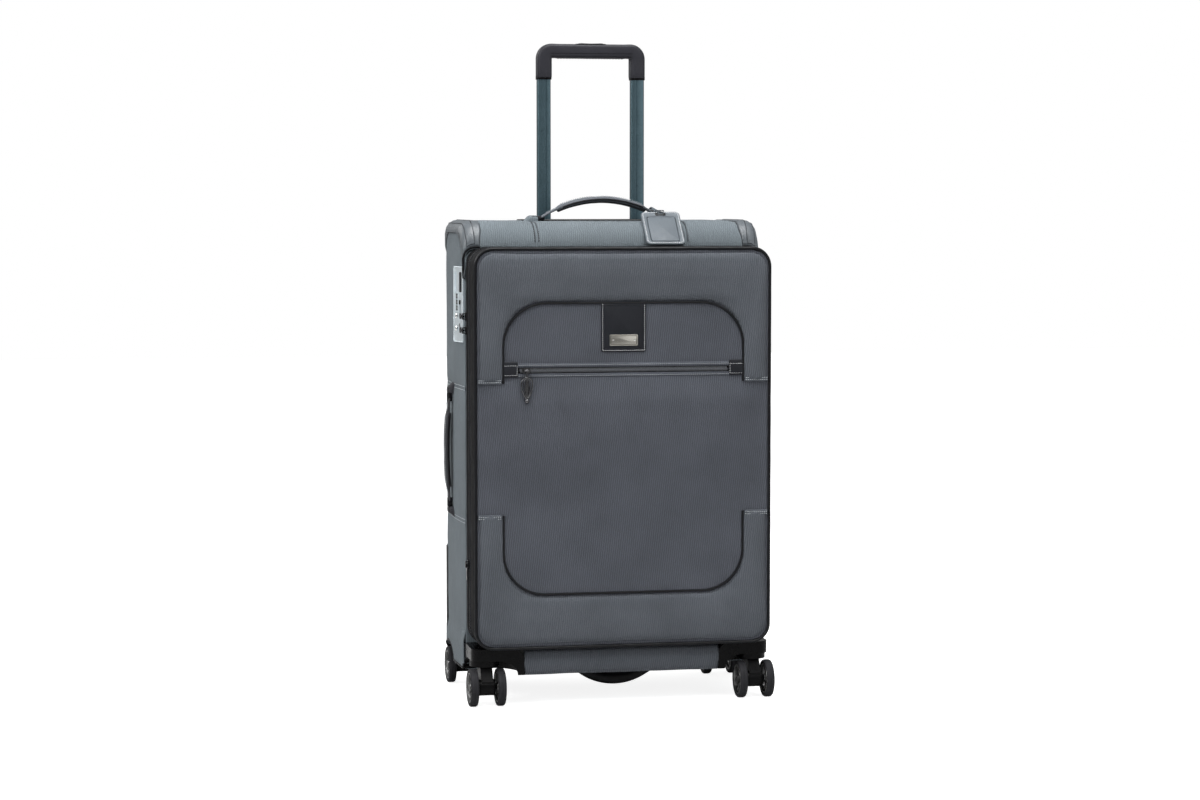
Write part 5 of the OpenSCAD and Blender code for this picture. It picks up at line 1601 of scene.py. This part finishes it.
def leaf(half, top, tip, wide, deep):
    """Closed loop, widest a third of the way down, drawn to a point at the tip."""
    line = []
    for k in range(49):
        t = k / 48 * 2
        sgn = 1 if t <= 1 else -1
        q = t if t <= 1 else 2 - t
        w = half * math.sin(pi * q ** 0.62) ** 0.75 if 0 < q < 1 else 0.0
        line.append((PX + sgn * w, PYC, ZIP_Z - lerp(top, tip, q)))
    return sweep(line, [(wide * a, deep * b) for a, b in circle(1, 10)], (0, -1, 0))


parts.append(leaf(8.2, 9.5, 41.0, 0.95, 1.0))
parts.append(leaf(4.6, 11.0, 39.5, 0.75, 1.2))
blade = []
for k in range(17):
    q = k / 16
    w = 0.35 + 2.5 * math.sin(pi * q ** 0.7) ** 0.8 if 0 < q < 1 else 0.35
    blade.append([(PX + w * a, PYC + 0.9 * b, ZIP_Z - lerp(10.5, 39.5, q)) for a, b in circle(1, 12)])
parts.append(skin(blade))
ball = [(3.3 * math.cos(pi * k / 10), max(0.0, 3.3 * math.sin(pi * k / 10))) for k in range(11)]
parts.append(revolve(ball, 24, "z", (PX, PYC, ZIP_Z - 43.0)))
pp = add("teardrop_pull", *join(parts), "pocket_pull", GUNMETAL, 50)
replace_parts(pp, "pocket_puller")

# ---------------------------------------------------------------- inside

LI = box("lining")
y_back = LI[1][1]
SIDE_IN = 208.6


def lining_wrap():
    rings = []
    ys = [LI[0][1] + (y_back - LI[0][1]) * k / 22 for k in range(23)]
    for y in ys:
        zt = TOP - 6.5 - max(0.0, (TOP - top_z(y)))
        zt = min(zt, TOP - 7)
        r = 26.0
        pts = outline(min(SIDE_IN, side_x(y) - 6.0), 84.6, zt, r, 12, 8)
        ring_ = []
        for x, z, nx, nz in pts:
            d = wobble((x, y, z), 45, 1.8, 41) - 0.8
            ring_.append((x + nx * min(0.4, d), y, z + nz * min(0.4, d)))
        rings.append(ring_)
    return skin(rings, caps=False)


lin = add("lining_wrap", *lining_wrap(), "case", LINING, 60)
thicken(lin, 1.2, 0)
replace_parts(lin, "lining")
grid = []
for i in range(70):
    z = lerp(86, TOP - 14, i / 69)
    row = []
    for j in range(54):
        x = lerp(-207.5, 207.5, j / 53)
        e = smooth01(min((207.5 - abs(x)) / 22, (z - 86) / 22, (TOP - 14 - z) / 22))
        row.append((x, y_back - 0.8 + wobble((x, 0, z), 50, 1.0, 44) * e - 1.6 * e, z))
    grid.append(row)
sheet("lining_back", grid, "case", LINING, 1.2)
# cloth edge between the lining and the rim
rings = []
for x, z, nx, nz in outline(SIDE_IN, 84.8, 650, 26, 12, 8):
    rings.append([(x, LI[0][1] + 3, z), (x + nx, LI[0][1] - 4, z + nz * (1.0 if nz < 0 else -2)),
                  (x + nx * 1.6, RIM_Y + 6, min(z + nz * 1.5, 645.5)), (x + nx * 0.4, RIM_Y + 5.5, min(z + nz * 0.2, 644.5)),
                  (x - nx * 0.6, LI[0][1] - 4, min(z, 646)), (x - nx, LI[0][1] + 3, z - nz)])
add("lining_binding", *skin(rings, path=True), "case", WEB, 60)

# crossed packing straps and their buckle
y1 = box("packing_straps")[1][1]
STRAP_LEAN = math.radians(12)
for s, tag in SIDES:
    ca, sa = math.cos(STRAP_LEAN * s), math.sin(STRAP_LEAN * s)

    def strap_mid(t):
        """Point on the strap's middle line, t from the bottom."""
        return s * 60 + sa * t, ca * t

    rows = []
    for i in range(61):
        cx, cz = strap_mid(lerp(112, 588, i / 60))
        d = wobble((cx, 0, cz), 60, 0.9, 50)
        rows.append([(cx + u * ca, y1 - 2.2 + d - h, cz - u * sa) for u, h in
                     ((-12.5, 0), (-12.2, 1.1), (0, 1.3), (12.2, 1.1), (12.5, 0), (0, -0.3))])
    add("packing_strap_" + tag, *skin(rows), "case", WEB, 50)
    for z0 in (112, 588):
        cx, cz = strap_mid(z0)
        v, f = plate(rrect(34, 26, 3, cx, cz), y1 - 1.2, y1 - 4.8, 0.8)
        add(f"strap_anchor_{tag}_{z0}", v, f, "case", LINING, 45)
        stitches(f"strap_anchor_stitch_{tag}_{z0}", [(x, y1 - 5.0, z) for x, z in rrect(29, 21, 2, cx, cz)], FORWARD,
                 "case", THREAD_DARK, 3.4, 2.4, 0.34, closed=True)
    cx, cz = strap_mid(360.0)

    def on_strap(p):
        return Vector((cx + p[0] * ca + p[2] * sa, p[1], cz - p[0] * sa + p[2] * ca))

    bkl = add("strap_buckle_" + tag, *plate(rrect(32, 46, 5, 0, 0, 8), y1 - 2.5, y1 - 8.6, 1.4, on_strap), "case", BLACK, 40)
    if s < 0:
        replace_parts(bkl, "packing_straps")
    for k in (-1, 1):
        add(f"strap_buckle_{tag}_pad_{k + 1}", *plate(rrect(20, 7, 2, 0, k * 12), y1 - 8.2, y1 - 9.6, 0.5, on_strap),
            "case", BUTTON, 40)

# lid lining with its mesh pocket
LL = box("lid_lining")
grid = []
for i in range(60):
    z = lerp(LL[0][2] + 2, LL[1][2] - 2, i / 59)
    row = []
    for j in range(46):
        w = LL[1][0] - 2
        x = lerp(-w, w, j / 45)
        e = smooth01(min((w - abs(x)) / 24, (z - LL[0][2]) / 24, (LL[1][2] - z) / 24))
        row.append((x, LL[1][1] - 0.8 + wobble((x, 0, z), 46, 1.2, 61) * e - 0.5, z))
    grid.append(row)
lw = sheet("lid_lining_cloth", grid, "lid_front", LINING, 1.0)
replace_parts(lw, "lid_lining")
lp = outline(LL[1][0] - 0.5, LL[0][2] + 0.5, LL[1][2] - 0.5, 20, 10, 8)
lining_y = LL[1][1]
hoop("lid_lining_wall", lp, [(0.3, lining_y + 0.5), (0.9, -112.0), (0.6, -119.0), (-0.6, -119.0), (-0.4, -112.0),
                             (-0.7, lining_y + 0.5)], "lid_front", LINING, 0.3, 40)
hoop("lid_lining_cord", lp, [(u - 1.0, LL[1][1] + 0.6 + v) for u, v in circle(1.5, 8)], "lid_front", WEB)
grid = []
for i in range(40):
    z = lerp(120, 420, i / 39)
    row = []
    for j in range(50):
        x = lerp(-165, 165, j / 49)
        e = smooth01(min((165 - abs(x)) / 16, (z - 120) / 16, (420 - z) / 16))
        row.append((x, LL[1][1] - 0.2 + (3.0 + wobble((x, 0, z), 40, 1.6, 66)) * e, z))
    grid.append(row)
sheet("lid_mesh_pocket", grid, "lid_front", MESH, 0.5)
for name, xa, za, xb, zb in (("side_l", -166, 118, -166, 422), ("side_r", 166, 118, 166, 422),
                             ("base", -166, 119, 166, 119), ("top", -166, 421, 166, 421)):
    n_p = 40
    rows = []
    for i in range(n_p + 1):
        x, z = lerp(xa, xb, i / n_p), lerp(za, zb, i / n_p)
        flat = za == zb
        rows.append([(x + (0 if flat else u), LL[1][1] - 0.6 + h, z + (u if flat else 0)) for u, h in
                     ((-6, 0), (-5.6, 1.3), (5.6, 1.3), (6, 0), (0, -0.2))])
    add("mesh_pocket_" + name, *skin(rows), "lid_front", WEB, 50)
line = [(-160, LL[1][1] + 1.0, 421), (160, LL[1][1] + 1.0, 421)]
for k, half in enumerate("ab"):
    coil("mesh_zip_" + half, [(x + 1.1 * k, y, z) for x, y, z in line], (0, 1, 0), "lid_front", 2.2, 2.6, 1.1, k)

# ---------------------------------------------------------------- floor, light, camera

floor_mat = Mat("floor_white", (0.55, 0.55, 0.55), 0.8, spec=0.05)
floor_mat.tint(floor_mat.noise(2, 3), 0.99, 1.01)
ray = floor_mat.node("ShaderNodeLightPath").outputs["Is Camera Ray"]
fx, fy, _ = floor_mat.axes()
squares = [floor_mat.math("MULTIPLY", c, c) for c in (fx, fy)]
far = floor_mat.math("SQRT", floor_mat.math("ADD", *squares))
glow = floor_mat.ramp(far, 0.25, 0.8, 0.86, 1.0)
floor_mat.b.inputs["Emission Color"].default_value = (1, 1, 1, 1)
floor_mat.link(floor_mat.math("MULTIPLY", glow, ray), floor_mat.b.inputs["Emission Strength"])

me = bpy.data.meshes.new("floor")
S = 9.0
me.from_pydata([(-S, -S, 0), (S, -S, 0), (S, S, 0), (-S, S, 0)], [], [(0, 1, 2, 3)])
me.materials.append(floor_mat.m)
floor = bpy.data.objects.new("floor", me)
scene.collection.objects.link(floor)

# white to the camera; a soft sky that is brighter overhead for everything else
world = bpy.data.worlds.new("world")
scene.world = world
world.use_nodes = True
wt = world.node_tree
bg = wt.nodes["Background"]
bg.inputs["Color"].default_value = (1, 1, 1, 1)
sky = wt.nodes.new("ShaderNodeTexCoord")
up = wt.nodes.new("ShaderNodeSeparateXYZ")
wt.links.new(sky.outputs["Generated"], up.inputs[0])
level = wt.nodes.new("ShaderNodeMapRange")
wt.links.new(up.outputs[2], level.inputs["Value"])
for i, v in zip((1, 2, 3, 4), (-0.2, 0.9, 0.10, 0.60)):
    level.inputs[i].default_value = v
path_ = wt.nodes.new("ShaderNodeLightPath")
mix_ = wt.nodes.new("ShaderNodeMix")
wt.links.new(path_.outputs["Is Camera Ray"], mix_.inputs["Factor"])
wt.links.new(level.outputs["Result"], mix_.inputs["A"])
mix_.inputs["B"].default_value = 1.0
wt.links.new(mix_.outputs["Result"], bg.inputs["Strength"])


def area(name, loc, target, size, power, color=(1, 1, 1)):
    d = bpy.data.lights.new(name, "AREA")
    d.shape = "RECTANGLE"
    d.size, d.size_y = size
    d.energy = power
    d.color = color
    o = bpy.data.objects.new(name, d)
    o.location = loc
    o.rotation_euler = (Vector(target) - Vector(loc)).to_track_quat("-Z", "Y").to_euler()
    scene.collection.objects.link(o)


area("key", (-2.6, -1.5, 2.2), (0, 0, 0.4), (1.2, 1.2), 52)
area("fill", (2.2, -3.0, 1.6), (0, 0, 0.4), (1.8, 1.8), 14)
area("top", (0.1, -0.7, 3.0), (0, 0, 0.3), (1.8, 1.8), 95)
area("back", (-1.8, 2.2, 1.8), (0, 0, 0.5), (1.4, 1.4), 16)
scene.view_settings.view_transform = "Standard"
scene.view_settings.look = "None"

cam = bpy.data.cameras.new("camera")
cam.sensor_width = 36
cam.lens = 86.0
cam.clip_end = 50
camera = bpy.data.objects.new("camera", cam)
yaw = math.radians(11.4)
pitch = math.radians(3.982)
camera.location = (-0.8367, -4.1023, 0.7185)
camera.rotation_euler = (math.radians(90) - pitch, 0, -yaw)
scene.collection.objects.link(camera)
scene.camera = camera
